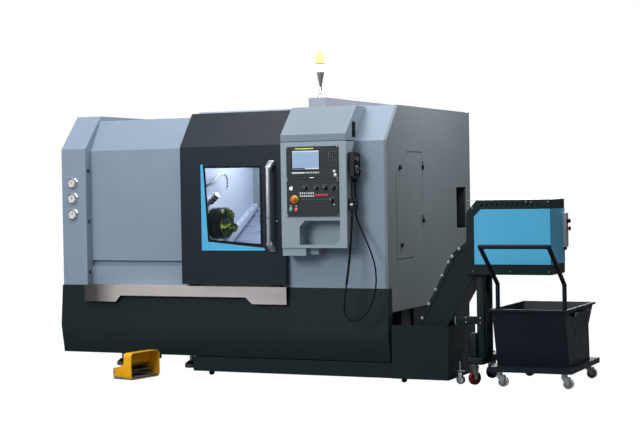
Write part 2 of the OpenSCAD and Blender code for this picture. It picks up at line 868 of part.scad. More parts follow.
module chip_conveyor() {
    color("darkslategray") place() {
        difference() {
            into(conveyor_y, conveyor_y1)
                polygon([[belt_x0, belt_low], [incline_x0, belt_low], [incline_x1, head_z],
                         [head_x, head_z], [head_x, head_z + 243], [head_x - 110, head_z + 158],
                         [crest_x, head_z + 114], [bend_x, belt_top], [belt_x0, belt_top]]);
            block([belt_x0 + trough_t, conveyor_y + trough_t, strand_z],
                  [bend_x - trough_t, conveyor_y1 - trough_t, belt_top + 1]);
        }
        for (i = [0:links - 1])
            translate([belt_x0 + trough_t + (i + 0.5) * link, 0, strand_z]) {
                block([-link / 2 + 4, conveyor_y + trough_t, 0], [link / 2 - 4, conveyor_y1 - trough_t, 5]);
                translate([-link / 2 + 2, conveyor_y1 - trough_t, 3]) rotate([90, 0, 0])
                    cylinder(h = conveyor_w - 2 * trough_t, d = 8, $fn = 16);
            }
        for (y = [conveyor_y - 4, conveyor_y1])
            into(y, y + 4)
                polygon([[bend_x + 12, belt_top - 28], [bend_x, belt_top], [crest_x, head_z + 114],
                         [head_x - 110, head_z + 158], [head_x - 1, head_z + 242],
                         [head_x - 1, head_z + 206], [head_x - 98, head_z + 128],
                         [crest_x + 24, head_z + 92]]);
        for (x = [slot_x0 + 180, tank_x1 - 200])
            block([x, conveyor_y + 30, skirt_z - 5], [x + 60, conveyor_y1 - 30, belt_low]);
    }
}

head_y = conveyor_y - 25;
head_x1 = head_x + head_len;
head_top = head_z + head_h;

module conveyor_head() {
    color("darkslategray") place()
        difference() {
            into(head_y, head_y + head_d)
                polygon([[head_x, head_z], [head_x, head_top - 90], [head_x + 80, head_top],
                         [head_x1, head_top], [head_x1, head_z]]);
            block([head_x + 200, head_y + 40, head_z - 1],
                  [head_x1 - 60, head_y + head_d - 40, head_z + 200]);
            for (i = [0:11])
                into(head_y - 1, head_y + 8)
                    polygon([for (p = [[0, 0], [14, 0], [28, 26], [14, 26]])
                                 [head_x + 110 + i * 38 + p[0], head_top - 48 + p[1]]]);
        }
}

module head_panels() {
    color("deepskyblue") place() {
        into(head_y - 4, head_y)
            polygon([[head_x + 62, head_z + 75], [head_x + 62, head_top - 118],
                     [head_x + 114, head_top - 66], [head_x1 - 3, head_top - 66],
                     [head_x1 - 3, head_z + 75]]);
        block([head_x1, head_y + 4, head_z + 75], [head_x1 + 4, head_y + head_d - 8, head_top - 66]);
    }
}

module head_control_box() {
    color("lightgray") place() {
        block([head_x1 + 4, head_y + head_d - 75, 995], [head_x1 + 34, head_y + head_d - 15, 1245]);
        for (z = [1185, 1130])
            translate([head_x1 + 34, head_y + head_d - 45, z]) rotate([0, 90, 0])
                cylinder(h = 24, d = 34);
    }
}

leg_x = head_x + 56;
leg_w = 56;

module conveyor_legs() {
    color("darkslategray") place() {
        for (y = [conveyor_y + 20, conveyor_y1 - 20 - leg_w])
            block([leg_x, y, 200], [leg_x + leg_w, y + leg_w, head_z]);
        block([leg_x - 60, 80, 140], [leg_x, 560, 200]);
        block([leg_x, 80, 140], [leg_x + leg_w, 560, 200]);
        block([tank_x2 + 5, conveyor_y + 30, tank_h + 11], [leg_x, conveyor_y + 60, tank_h + 67]);
        block([leg_x - 46, conveyor_y - 2, 200], [leg_x, conveyor_y + 38, 380]);
        for (y = [115, 525])
            translate([leg_x - 20, y, 0]) {
                translate([0, 0, 120]) cylinder(h = 20, d = 70);
                translate([-4, -22, 50]) cube([8, 4, 72]);
                translate([-4, 18, 50]) cube([8, 4, 72]);
                translate([0, 22, 50]) rotate([90, 0, 0]) cylinder(h = 44, d = 10);
                translate([0, 15, 50]) rotate([90, 0, 0]) cylinder(h = 30, d = 100);
            }
    }
}

tank_x0 = slot_x0 - 36;
tank_x1 = body_len + 19;
tank_x2 = tank_x1 + 440;
tank_y0 = 12;
tank_y1 = 620;
tank_wall = 6;

module coolant_tank() {
    color("darkslategray") place() {
        block([tank_x0, tank_y0, tank_z], [tank_x1, tank_y1, skirt_z - 5]);
        difference() {
            block([tank_x1, tank_y0 - 12, tank_z], [tank_x2, tank_y1, tank_h]);
            block([tank_x1 - 1, tank_y0 - 12 + tank_wall, tank_z + tank_wall],
                  [tank_x2 - tank_wall, tank_y1 - tank_wall, tank_h + 1]);
        }
        for (x = [tank_x0 + 120, tank_x1 + 60], y = [90, 540])
            translate([x, y + 12, tank_z / 2]) rotate([90, 0, 0]) cylinder(h = 24, d = tank_z);
        block([tank_x2, 100, 90], [tank_x2 + 80, 150, 96]);
        translate([tank_x2 + 50, 125, 60]) cylinder(h = 30, d = 20);
        translate([tank_x2 + 50, 137, 30]) rotate([90, 0, 0]) cylinder(h = 24, d = 60);
    }
}

base_z = 112;
base_top = 150;
bin_x0 = cart_x + 40;
bin_x1 = cart_x + cart_w - 44;
bin_wall = 5;

// Side outline of the bin, inset by t
function bin_outline(t, z0, z1) =
    [[110 + t, z0], [t, z1], [cart_d - t, z1], [cart_d - 108 - t, rim_z - 117],
     [cart_d - 145 - t, rim_z - 155], [cart_d - 123 - t, z0]];

module cart_bin() {
    color([0.1, 0.11, 0.13]) place()
        difference() {
            union() {
                across(bin_x0, bin_x1) polygon(bin_outline(0, base_top, rim_z));
                block([bin_x0 - 15, -12, rim_z - 4], [bin_x1 + 15, cart_d + 12, rim_z]);
                block([bin_x0 - 15, -12, rim_z - 16], [bin_x0 - 11, cart_d + 12, rim_z]);
                block([bin_x1 + 11, -12, rim_z - 16], [bin_x1 + 15, cart_d + 12, rim_z]);
                block([bin_x0 - 15, -12, rim_z - 16], [bin_x1 + 15, -8, rim_z]);
                block([bin_x0 - 15, cart_d + 8, rim_z - 16], [bin_x1 + 15, cart_d + 12, rim_z]);
                block([bin_x1 - 2, 180, rim_z - 60], [bin_x1 + 26, 620, rim_z - 54]);
                block([bin_x1 + 20, 180, rim_z - 60], [bin_x1 + 26, 620, rim_z - 40]);
            }
            across(bin_x0 + bin_wall, bin_x1 - bin_wall)
                polygon(bin_outline(bin_wall, base_top + bin_wall, rim_z + 1));
        }
}

caster_in = 70;
king_d = 16;
king_h = 20;
casters = [[cart_x + caster_in, caster_in], [cart_x + cart_w - caster_in, caster_in],
           [cart_x + caster_in, cart_d - caster_in],
           [cart_x + cart_w - caster_in, cart_d - caster_in]];

module cart_base() {
    color([0.1, 0.11, 0.13]) place() {
        block([cart_x, 0, base_z], [cart_x + cart_w, cart_d, base_top]);
        for (p = casters)
            translate([p[0], p[1], base_z - king_h]) cylinder(h = king_h, d = king_d);
    }
}

handle_in = bin_wall + tube_d / 2 + seat;
bend_z = 740;
grip_y = -310;
grip_z = 1025;

module cart_handle() {
    x0 = bin_x0 + handle_in;
    x1 = bin_x1 - handle_in;
    color([0.1, 0.11, 0.13]) place() {
        for (x = [x0, x1]) {
            bar([x, 80, rim_z - 165], [x, 80, bend_z], tube_d);
            translate([x, 80, bend_z]) sphere(d = tube_d + 1);
            bar([x, 80, bend_z], [x, grip_y, grip_z], tube_d);
            translate([x, grip_y, grip_z]) sphere(d = tube_d + 1);
        }
        bar([x0, grip_y, grip_z], [x1, grip_y, grip_z], tube_d);
    }
}

trail = 28;
fork_gap = 5;
fork_t = 4;
collar_top = base_z - 6;
axle_d = 8;

// Swivelling fork of the caster at p
module fork(p) {
    color("silver") place()
        translate([p[0], p[1], 0]) {
            difference() {
                union() {
                    translate([0, 0, wheel_d + 9]) cylinder(h = collar_top - wheel_d - 9, d = 44);
                    block([-22, -wheel_w / 2 - fork_gap - fork_t, wheel_d + 5],
                          [trail + 10, wheel_w / 2 + fork_gap + fork_t, wheel_d + 9]);
                }
                translate([0, 0, wheel_d]) cylinder(h = 50, d = king_d + 2 * run_gap);
            }
            for (s = [-1, 1])
                translate([0, s * (wheel_w / 2 + fork_gap + fork_t / 2) + fork_t / 2, 0])
                    rotate([90, 0, 0]) linear_extrude(fork_t)
                        polygon([[-22, wheel_d + 6], [trail - 10, wheel_d / 2 - 8],
                                 [trail + 10, wheel_d / 2 - 8], [trail + 10, wheel_d + 6]]);
            translate([trail, wheel_w / 2 + fork_gap + fork_t + 3, wheel_d / 2]) rotate([90, 0, 0])
                cylinder(h = wheel_w + 2 * (fork_gap + fork_t + 3), d = axle_d);
        }
}

// Wheel of the caster at p
module wheel(p) {
    color("whitesmoke") place()
        translate([p[0] + trail, p[1] + wheel_w / 2, wheel_d / 2]) rotate([90, 0, 0])
            difference() {
                union() {
                    cylinder(h = wheel_w, d = wheel_d);
                    translate([0, 0, -3]) cylinder(h = wheel_w + 6, d = 24);
                }
                translate([0, 0, -4]) cylinder(h = wheel_w + 8, d = axle_d + 2 * run_gap);
            }
}

guard_t = 8;
deck_z = 20;
pedal_x = 70;
pedal_z = 62;
pedal_len = 130;
pedal_w = (guard_w - 2 * guard_t - 3 * 8) / 2;
rod_d = 10;

// Puts a piece of the foot switch where it stands on the floor
module foot_place() {
    place() translate([guard_at[0], guard_at[1], 0]) rotate([0, 0, guard_turn]) children();
}

guard_r = 30;
guard_side = [[0, 0], [0, 66], [52, 100], [52, guard_h - 24], [58, guard_h - 8], [74, guard_h],
              [guard_len, guard_h], [guard_len, 0]];
guard_inside = [[guard_t, deck_z], [guard_t, 62], [52 + guard_t, 96], [52 + guard_t, guard_h - 28],
                [76, guard_h - guard_t], [guard_len + 1, guard_h - guard_t], [guard_len + 1, deck_z]];

// Front outline of the guard with round upper corners, inset by t
module guard_front_outline(t) {
    w = guard_w / 2 - t;
    h = guard_h - t;
    polygon([[-w, t - 1], [-w, h - guard_r], [w, h - guard_r], [w, t - 1]]);
    polygon([[t - guard_w / 2 + guard_r, t - 1], [t - guard_w / 2 + guard_r, h],
             [guard_w / 2 - t - guard_r, h], [guard_w / 2 - t - guard_r, t - 1]]);
    for (s = [-1, 1])
        translate([s * (w - guard_r), h - guard_r]) circle(r = guard_r);
}

module foot_switch_guard() {
    color("orange") foot_place() {
        difference() {
            intersection() {
                into(-guard_w / 2, guard_w / 2) polygon(guard_side);
                translate([-1, 0, 0]) across(0, guard_len + 2) guard_front_outline(0);
            }
            intersection() {
                into(-guard_w / 2 + guard_t, guard_w / 2 - guard_t) polygon(guard_inside);
                translate([-1, 0, 0]) across(0, guard_len + 3) guard_front_outline(guard_t);
            }
        }
        translate([pedal_x, guard_w / 2 - guard_t + 1, pedal_z]) rotate([90, 0, 0])
            cylinder(h = guard_w - 2 * guard_t + 2, d = rod_d);
    }
}

// Pedal whose near edge lies at y0
module pedal(y0) {
    color("dimgray") foot_place()
        difference() {
            union() {
                translate([pedal_x, y0 + pedal_w, pedal_z]) rotate([90, 0, 0])
                    cylinder(h = pedal_w, d = rod_d + 10);
                block([pedal_x, y0, pedal_z], [pedal_x + pedal_len, y0 + pedal_w, pedal_z + 8]);
                for (i = [0:6])
                    block([pedal_x + 34 + i * 13, y0 + 8, pedal_z + 7],
                          [pedal_x + 39 + i * 13, y0 + pedal_w - 8, pedal_z + 10]);
            }
            translate([pedal_x, y0 + pedal_w + 1, pedal_z]) rotate([90, 0, 0])
                cylinder(h = pedal_w + 2, d = rod_d + 2 * run_gap);
        }
}

bed_casting();
levelling_feet();
front_skirt();
base_skirts();
drip_strip();
left_end_cover();
cover_latches();
pressure_gauges();
headstock_cover();
headstock_lower_cover();
rear_housing();
rear_covers();
roof_panel();
door_surround();
right_front_cover();
right_side_cover();
right_housing();
chamber_lining();
way_cover();
spindle_nose();
work_lamp();
coolant_nozzle();
chuck();
chuck_jaws();
sliding_door();
door_glass();
door_trim();
door_handle();
side_door();
side_door_hinges();
air_service_unit();
control_column();
column_hood();
display_unit();
operator_panel();
panel_controls();
pendant();
pendant_cable();
roof_duct();
signal_tower();
chip_conveyor();
conveyor_head();
head_panels();
head_control_box();
conveyor_legs();
coolant_tank();
cart_bin();
cart_base();
cart_handle();
foot_switch_guard();
fork(casters[0]);  // cart_fork_fl
fork(casters[1]);  // cart_fork_fr
fork(casters[2]);  // cart_fork_rl
fork(casters[3]);  // cart_fork_rr
wheel(casters[0]);  // cart_wheel_fl
wheel(casters[1]);  // cart_wheel_fr
wheel(casters[2]);  // cart_wheel_rl
wheel(casters[3]);  // cart_wheel_rr
pedal(-guard_w / 2 + guard_t + 8);  // pedal_front
pedal(8 / 2);  // pedal_rear
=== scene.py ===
"""Finishes, small fittings, light and camera for the slant bed lathe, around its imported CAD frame."""
import math

import bmesh
import bpy
from mathutils import Matrix, Vector


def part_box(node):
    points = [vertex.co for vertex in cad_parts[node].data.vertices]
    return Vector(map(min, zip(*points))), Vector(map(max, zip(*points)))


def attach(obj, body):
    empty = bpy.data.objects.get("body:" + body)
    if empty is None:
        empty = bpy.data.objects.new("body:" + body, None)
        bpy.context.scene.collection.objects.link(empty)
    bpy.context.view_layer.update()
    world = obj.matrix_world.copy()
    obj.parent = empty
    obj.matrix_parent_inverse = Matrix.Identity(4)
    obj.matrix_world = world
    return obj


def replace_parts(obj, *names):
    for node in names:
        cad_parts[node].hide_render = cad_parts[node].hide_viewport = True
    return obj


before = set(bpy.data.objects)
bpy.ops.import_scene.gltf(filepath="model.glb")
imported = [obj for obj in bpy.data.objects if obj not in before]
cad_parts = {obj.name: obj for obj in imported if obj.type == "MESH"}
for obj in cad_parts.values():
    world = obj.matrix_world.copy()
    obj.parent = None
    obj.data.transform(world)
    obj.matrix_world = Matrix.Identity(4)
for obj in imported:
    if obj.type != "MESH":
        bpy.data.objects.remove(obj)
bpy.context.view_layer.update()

MM = 0.001
# The machine's own zero: its left end, its front plane and the floor
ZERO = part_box("left_end_cover")[0]
ZERO.z = 0


def at(x, y, z):
    """Point in the part's metres from machine millimetres"""
    return ZERO + Vector((x, y, z)) * MM


# Camera

def make_camera():
    """Camera at the photograph's viewing angle"""
    data = bpy.data.cameras.new("camera")
    data.sensor_width = 36
    data.lens = 86.58
    data.clip_end = 200
    camera = bpy.data.objects.new("camera", data)
    bpy.context.scene.collection.objects.link(camera)
    yaw, pitch, roll = 0.4259, -0.0177, -0.0167
    turn = (Matrix.Rotation(yaw, 4, "Z") @ Matrix.Rotation(math.pi / 2 + pitch, 4, "X")
            @ Matrix.Rotation(roll, 4, "Z"))
    camera.matrix_world = Matrix.Translation(at(7084.6, -10545.2, 1466.1)) @ turn
    bpy.context.scene.camera = camera


# Finishes

def rgb(code):
    """Linear colour from six hexadecimal digits"""
    parts = [int(code[i:i + 2], 16) / 255 for i in (0, 2, 4)]
    return [p / 12.92 if p <= 0.04045 else ((p + 0.055) / 1.055) ** 2.4 for p in parts] + [1]


def scaled(color, share):
    return [min(1, c * share) for c in color[:3]] + [1]


def noise(tree, size, detail=2.0, stretch=(1, 1, 1)):
    """Noise with grains about size millimetres wide, fixed to the part"""
    coordinates = tree.nodes.new("ShaderNodeTexCoord")
    mapping = tree.nodes.new("ShaderNodeMapping")
    mapping.inputs["Scale"].default_value = [s / (size * MM) for s in stretch]
    texture = tree.nodes.new("ShaderNodeTexNoise")
    texture.inputs["Scale"].default_value = 1
    texture.inputs["Detail"].default_value = detail
    tree.links.new(coordinates.outputs["Object"], mapping.inputs["Vector"])
    tree.links.new(mapping.outputs["Vector"], texture.inputs["Vector"])
    return texture.outputs["Fac"]


def spread(tree, value, low, high, start=0.3, end=0.7):
    """Maps a noise value to a range"""
    node = tree.nodes.new("ShaderNodeMapRange")
    node.inputs["From Min"].default_value = start
    node.inputs["From Max"].default_value = end
    node.inputs["To Min"].default_value = low
    node.inputs["To Max"].default_value = high
    tree.links.new(value, node.inputs["Value"])
    return node.outputs["Result"]


def between(tree, factor, first, second):
    """Colour between two colours, either of which may be a socket"""
    node = tree.nodes.new("ShaderNodeMix")
    node.data_type = "RGBA"
    tree.links.new(factor, node.inputs["Factor"])
    for socket, color in ((node.inputs[6], first), (node.inputs[7], second)):
        if isinstance(color, bpy.types.NodeSocket):
            tree.links.new(color, socket)
        else:
            socket.default_value = color
    return node.outputs[2]


def edges(tree, radius):
    """Mask that is 1 on edges sharper than a radius in millimetres"""
    bevel = tree.nodes.new("ShaderNodeBevel")
    bevel.samples = 4
    bevel.inputs["Radius"].default_value = radius * MM
    geometry = tree.nodes.new("ShaderNodeNewGeometry")
    dot = tree.nodes.new("ShaderNodeVectorMath")
    dot.operation = "DOT_PRODUCT"
    tree.links.new(bevel.outputs["Normal"], dot.inputs[0])
    tree.links.new(geometry.outputs["Normal"], dot.inputs[1])
    return spread(tree, dot.outputs["Value"], 1, 0, 0.75, 0.99)


def finish(name, color, rough, metallic=0.0, specular=0.5, coat=0.0, mottle=0.05, mottle_size=220,
           grain=0.1, grain_size=1.6, stretch=(1, 1, 1), wear=None, dust=0.0, alpha=1.0):
    """Material with drifting colour and gloss, a fine grain, and where asked worn edges and dust"""
    material = bpy.data.materials.new(name)
    material.use_nodes = True
    tree = material.node_tree
    shader = tree.nodes["Principled BSDF"]
    shader.inputs["Metallic"].default_value = metallic
    shader.inputs["Specular IOR Level"].default_value = specular
    shader.inputs["Coat Weight"].default_value = coat
    shader.inputs["Coat Roughness"].default_value = 0.15
    shader.inputs["Alpha"].default_value = alpha
    color = rgb(color)
    drift = noise(tree, mottle_size, 4)
    paint = between(tree, spread(tree, drift, 0, 1), scaled(color, 1 - mottle), scaled(color, 1 + mottle))
    if dust:
        speck = spread(tree, noise(tree, 35, 6), 0, dust, 0.5, 0.8)
        paint = between(tree, speck, paint, rgb("8a8d8f"))
    if wear:
        rubbed = tree.nodes.new("ShaderNodeMath")
        rubbed.operation = "MULTIPLY"
        tree.links.new(edges(tree, 2.5), rubbed.inputs[0])
        tree.links.new(spread(tree, noise(tree, 60, 5), 0, 1, 0.45, 0.65), rubbed.inputs[1])
        paint = between(tree, rubbed.outputs[0], paint, rgb(wear))
    tree.links.new(paint, shader.inputs["Base Color"])
    gloss = noise(tree, mottle_size / 3, 5, stretch)
    tree.links.new(spread(tree, gloss, max(0.02, rough - 0.06), min(1, rough + 0.06)),
                   shader.inputs["Roughness"])
    bump = tree.nodes.new("ShaderNodeBump")
    bump.inputs["Strength"].default_value = grain
    bump.inputs["Distance"].default_value = 0.3 * MM
    tree.links.new(noise(tree, grain_size, 2, stretch), bump.inputs["Height"])
    tree.links.new(bump.outputs["Normal"], shader.inputs["Normal"])
    return material


def glowing(name, color, strength, rough=0.3, base=None):
    """Material that gives off light, with slight bands of brightness"""
    material = finish(name, base or color, rough, mottle=0.08, mottle_size=40)
    shader = material.node_tree.nodes["Principled BSDF"]
    shader.inputs["Emission Color"].default_value = rgb(color)
    shader.inputs["Emission Strength"].default_value = strength
    return material


def shade_along(material, axis, places, shares):
    """Multiplies a finish's colour along an axis of the part, painting light and shade into it: shares of its
    colour at places in metres
    """
    tree = material.node_tree
    shader = tree.nodes["Principled BSDF"]
    source = shader.inputs["Base Color"].links[0].from_socket
    where = tree.nodes.new("ShaderNodeTexCoord")
    parts = tree.nodes.new("ShaderNodeSeparateXYZ")
    tree.links.new(where.outputs["Object"], parts.inputs[0])
    ramp = tree.nodes.new("ShaderNodeValToRGB")
    low, high = places[0], places[-1]
    tree.links.new(spread(tree, parts.outputs[axis], 0, 1, low, high), ramp.inputs["Fac"])
    for k, (place, share) in enumerate(zip(places, shares)):
        step = (place - low) / (high - low)
        stop = ramp.color_ramp.elements[k] if k < 2 else ramp.color_ramp.elements.new(step)
        stop.position = step
        stop.color = (share, share, share, 1)
    mix = tree.nodes.new("ShaderNodeMix")
    mix.data_type = "RGBA"
    mix.blend_type = "MULTIPLY"
    mix.inputs["Factor"].default_value = 1
    tree.links.new(source, mix.inputs[6])
    tree.links.new(ramp.outputs["Color"], mix.inputs[7])
    tree.links.new(mix.outputs[2], shader.inputs["Base Color"])


def glass(name, color, alpha, rough=0.05):
    """Thin clear sheet: mostly see-through, with a gloss of its own"""
    return finish(name, color, rough, specular=0.8, mottle=0.02, grain=0.01, alpha=alpha)


paint = finish("cover_paint", "8a9aac", 0.42, specular=0.35, mottle=0.035, mottle_size=400, grain=0.12,
               grain_size=1.2)
column_paint = finish("column_paint", "95a5ae", 0.42, specular=0.35, mottle=0.035, mottle_size=400,
                      grain=0.12, grain_size=1.2)
# A darker copy of the column paint: painted shade on the hood
shaded_hood_paint = finish("shaded_hood_paint", "7e8c99", 0.42, specular=0.3, mottle=0.035, mottle_size=400, grain=0.12)
duct_paint = finish("duct_paint", "9da1b0", 0.42, specular=0.35, mottle=0.03, grain=0.12)
# A darker, warmer copy of the cover paint: painted shade for the right side, rear and roof covers, the side door
# and their screws
side_paint = finish("side_paint", "7a858b", 0.45, specular=0.3, mottle=0.04, mottle_size=500, grain=0.12)
dark_paint = finish("skirt_paint", "1a282b", 0.46, specular=0.14, mottle=0.05, mottle_size=300, wear="2c383c")
door_paint = finish("door_paint", "1e2830", 0.4, specular=0.2, mottle=0.04, mottle_size=300)
cyan_paint = finish("cyan_paint", "56bae6", 0.36, specular=0.3, mottle=0.03)
bin_paint = finish("bin_paint", "1c242c", 0.46, specular=0.14, mottle=0.06, wear="454c54")
steel = finish("brushed_steel", "ebe0de", 0.38, metallic=0.6, mottle=0.05, grain=0.2, grain_size=0.9,
               stretch=(0.06, 1, 1))
# Painted reflection on the drip strip: dark at its left end, bright in the middle and a little duller to the right
shade_along(steel, "X", [at(x, 0, 0).x for x in (228, 330, 520, 900, 1500, 2030)],
            (0.1, 0.14, 0.85, 1, 0.85, 0.72))
bar_steel = finish("satin_bar", "b9c2c6", 0.36, metallic=0.35, mottle=0.04, grain=0.1, grain_size=0.8,
                   stretch=(1, 1, 0.08))
zinc = finish("zinc_plate", "c2c6c8", 0.34, metallic=0.9, mottle=0.1, mottle_size=25, grain=0.2)
chrome = finish("chrome", "e8eaec", 0.08, metallic=1, mottle=0.02, grain=0.02)
guard_paint = finish("guard_paint", "8a9c9e", 0.4, specular=0.3, mottle=0.05, mottle_size=300)
lining_paint = finish("lining_paint", "bcc8dc", 0.4, specular=0.4, mottle=0.05, mottle_size=300)
way_steel = finish("way_steel", "a6b0c6", 0.3, metallic=0.55, mottle=0.07, grain=0.2, grain_size=1,
                   stretch=(0.08, 1, 1))
chuck_steel = finish("chuck_steel", "1d2419", 0.2, metallic=0.75, mottle=0.35, mottle_size=60)
# Olive-green over steel for the jaws and chuck fittings: partly painted highlight, standing for green-yellow
# highlights on them, with strong mottle
jaw_steel_painted_highlight = finish("jaw_steel_painted_highlight", "93a83e", 0.2, metallic=0.8, mottle=0.35, mottle_size=30)
black_plastic = finish("black_plastic", "15181b", 0.5, specular=0.3, mottle=0.06, grain=0.3, grain_size=0.8)
panel_plastic = finish("panel_foil", "2c3335", 0.48, specular=0.25, mottle=0.05, grain=0.25, grain_size=0.6)
grey_plastic = finish("grey_plastic", "6f757a", 0.45, mottle=0.05, grain=0.2)
white_plastic = finish("white_plastic", "e6e8ea", 0.4, mottle=0.03, grain=0.15)
dial_plastic = finish("dial_plastic", "c8ced2", 0.45, mottle=0.03, grain=0.1)
rubber = finish("rubber", "101214", 0.8, specular=0.2, mottle=0.1, grain=0.4, grain_size=1.1)
yellow_coat = finish("yellow_coat", "ffb60a", 0.4, specular=0.35, mottle=0.05, wear="c89a3c")
red_plastic = finish("red_plastic", "b5231c", 0.32, mottle=0.05)
red_wheel = finish("red_wheel", "6e1824", 0.45, mottle=0.08)
teal_wheel = finish("teal_wheel", "3c5c60", 0.4, mottle=0.06)
orange_plastic = finish("orange_plastic", "d9602c", 0.3, mottle=0.05)
yellow_plastic = finish("yellow_plastic", "e0b91e", 0.38, mottle=0.05)
legend_paint = finish("legend_paint", "b9bcbd", 0.5, mottle=0.03)
pale_lamp = glowing("pale_lamp", "e4fff2", 0.8)
red_lamp = glowing("red_lamp", "e0304c", 0.45)
green_lamp = glowing("green_lamp", "2f9f78", 0.25)
screen_light = glowing("screen_light", "93aed2", 0.95, base="1c2026")
screen_bright = glowing("screen_bright", "dfe6f4", 0.85, base="1c2026")
screen_faint = glowing("screen_faint", "a9bfdc", 0.95, base="1c2026")
screen_dark = finish("screen_dark", "26323f", 0.3, mottle=0.03)
strip_light = glowing("strip_light", "b8cf3c", 0.5)
tower_yellow = glowing("tower_yellow", "f4f58c", 0.55)
tower_white = glowing("tower_white", "fdf6ea", 0.5)
lamp_light = glowing("lamp_light", "dfe6ff", 0.3, base="3a4048")
bead_plastic = finish("bead_plastic", "7a4a78", 0.4, mottle=0.1)
pane = glass("window_pane", "5c6874", 0.04)
bowl_plastic = glass("bowl_plastic", "39464c", 0.75, 0.12)
cast_iron = finish("cast_iron", "4b5257", 0.6, metallic=0.3, mottle=0.1, grain=0.5, grain_size=2.5)


# Shapes

PLANES = {"x": lambda u, v, w: (w, u, v), "y": lambda u, v, w: (u, w, v), "z": lambda u, v, w: (u, v, w)}


def smooth_path(points, steps):
    """Points on a curve that passes through all the given points"""
    points = [Vector(p) for p in points]
    ends = [2 * points[0] - points[1]] + points + [2 * points[-1] - points[-2]]
    path = []
    for a, b, c, d in zip(ends, ends[1:], ends[2:], ends[3:]):
        for k in range(steps):
            t = k / steps
            path.append(0.5 * (2 * b + (c - a) * t + (2 * a - 5 * b + 4 * c - d) * t * t
                               + (3 * b - a - 3 * c + d) * t ** 3))
    return path + [points[-1]]


class Piece:
    """One mesh, put together from shapes given in machine millimetres"""

    def __init__(self, name):
        self.name = name
        self.mesh = bmesh.new()
        self.finishes = []

    def take(self, shape, material):
        if material not in self.finishes:
            self.finishes.append(material)
        bmesh.ops.recalc_face_normals(shape, faces=shape.faces)
        for face in shape.faces:
            face.material_index = self.finishes.index(material)
        part = bpy.data.meshes.new("shape")
        shape.to_mesh(part)
        shape.free()
        self.mesh.from_mesh(part)
        bpy.data.meshes.remove(part)

    def prism(self, outline, plane, low, high, material, edge=0.0):
        """Outline extruded across a plane, with its edges rounded"""
        shape = bmesh.new()
        place = PLANES[plane]
        ends = [[shape.verts.new(place(u, v, w)) for u, v in outline] for w in (low, high)]
        count = len(outline)
        for end in ends:
            shape.faces.new(end)
        for k in range(count):
            shape.faces.new([ends[0][k], ends[0][(k + 1) % count], ends[1][(k + 1) % count], ends[1][k]])
        if edge:
            bmesh.ops.bevel(shape, geom=shape.edges[:], offset=edge, segments=2, profile=0.5,
                            affect="EDGES", clamp_overlap=True)
        self.take(shape, material)

    def slab(self, low, high, material, edge=0.0):
        """Box between two corners, with its edges rounded"""
        self.prism([(low[0], low[1]), (high[0], low[1]), (high[0], high[1]), (low[0], high[1])], "z",
                   low[2], high[2], material, edge)

    def turned(self, profile, centre, axis, material, sides=32, closed=False):
        """Shape turned about an axis, from points of radius and distance along the axis"""
        shape = bmesh.new()
        turn = Vector((0, 0, 1)).rotation_difference(Vector(axis)).to_matrix()
        centre = Vector(centre)
        rings = []
        for radius, along in profile:
            count = sides if radius > 1e-6 else 1
            rings.append([shape.verts.new(centre + turn @ Vector((
                radius * math.cos(2 * math.pi * k / sides), radius * math.sin(2 * math.pi * k / sides),
                along))) for k in range(count)])
        pairs = list(zip(rings, rings[1:])) + ([(rings[-1], rings[0])] if closed else [])
        for a, b in pairs:
            for k in range(sides):
                corners = []
                for v in (a[k % len(a)], a[(k + 1) % len(a)], b[(k + 1) % len(b)], b[k % len(b)]):
                    if v not in corners:
                        corners.append(v)
                if len(corners) > 2:
                    shape.faces.new(corners)
        self.take(shape, material)

    def tube(self, points, diameter, material, sides=12):
        """Round bar that follows points"""
        points = [Vector(p) for p in points]
        shape = bmesh.new()
        rings = []
        side = None
        for i, point in enumerate(points):
            heading = (points[min(i + 1, len(points) - 1)] - points[max(i - 1, 0)]).normalized()
            side = heading.orthogonal() if side is None else side - side.dot(heading) * heading
            side.normalize()
            other = heading.cross(side)
            rings.append([shape.verts.new(point + diameter / 2 * (
                math.cos(2 * math.pi * k / sides) * side + math.sin(2 * math.pi * k / sides) * other))
                for k in range(sides)])
        for a, b in zip(rings, rings[1:]):
            for k in range(sides):
                shape.faces.new([a[k], a[(k + 1) % sides], b[(k + 1) % sides], b[k]])
        shape.faces.new(rings[0])
        shape.faces.new(rings[-1])
        self.take(shape, material)

    def screw(self, centre, axis, diameter, material):
        """Button head screw with a hexagon socket"""
        r = diameter / 2
        self.turned([(r, 0), (r, 0.25 * r), (0.8 * r, 0.65 * r), (0.45 * r, 0.75 * r), (0.38 * r, 0.3 * r),
                     (0, 0.3 * r)], centre, axis, material, sides=12)

    def done(self, body, place=Matrix()):
        """Makes the object, which rides on a body; place moves it within the machine first"""
        for vert in self.mesh.verts:
            vert.co = at(*(place @ vert.co))
        for edge in self.mesh.edges:
            edge.smooth = len(edge.link_faces) == 2 and edge.calc_face_angle(0) < math.radians(35)
        for face in self.mesh.faces:
            face.smooth = True
        data = bpy.data.meshes.new(self.name)
        self.mesh.to_mesh(data)
        self.mesh.free()
        for material in self.finishes:
            data.materials.append(material)
        thing = bpy.data.objects.new(self.name, data)
        bpy.context.scene.collection.objects.link(thing)
        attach(thing, body)
        return thing


def dress(node, material, edge=0.0):
    """Gives a CAD node its finish, and rounds its edges by some millimetres"""
    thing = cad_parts[node]
    thing.data.materials.clear()
    thing.data.materials.append(material)
    if edge:
        weld = thing.modifiers.new("weld", "WELD")
        weld.merge_threshold = 0.05 * MM
        bevel = thing.modifiers.new("bevel", "BEVEL")
        bevel.width = edge * MM
        bevel.segments = 2
        bevel.limit_method = "ANGLE"
        bevel.angle_limit = math.radians(25)
        bevel.use_clamp_overlap = True
        flat = thing.modifiers.new("flat", "WEIGHTED_NORMAL")
        flat.weight = 100


# Pendant cable

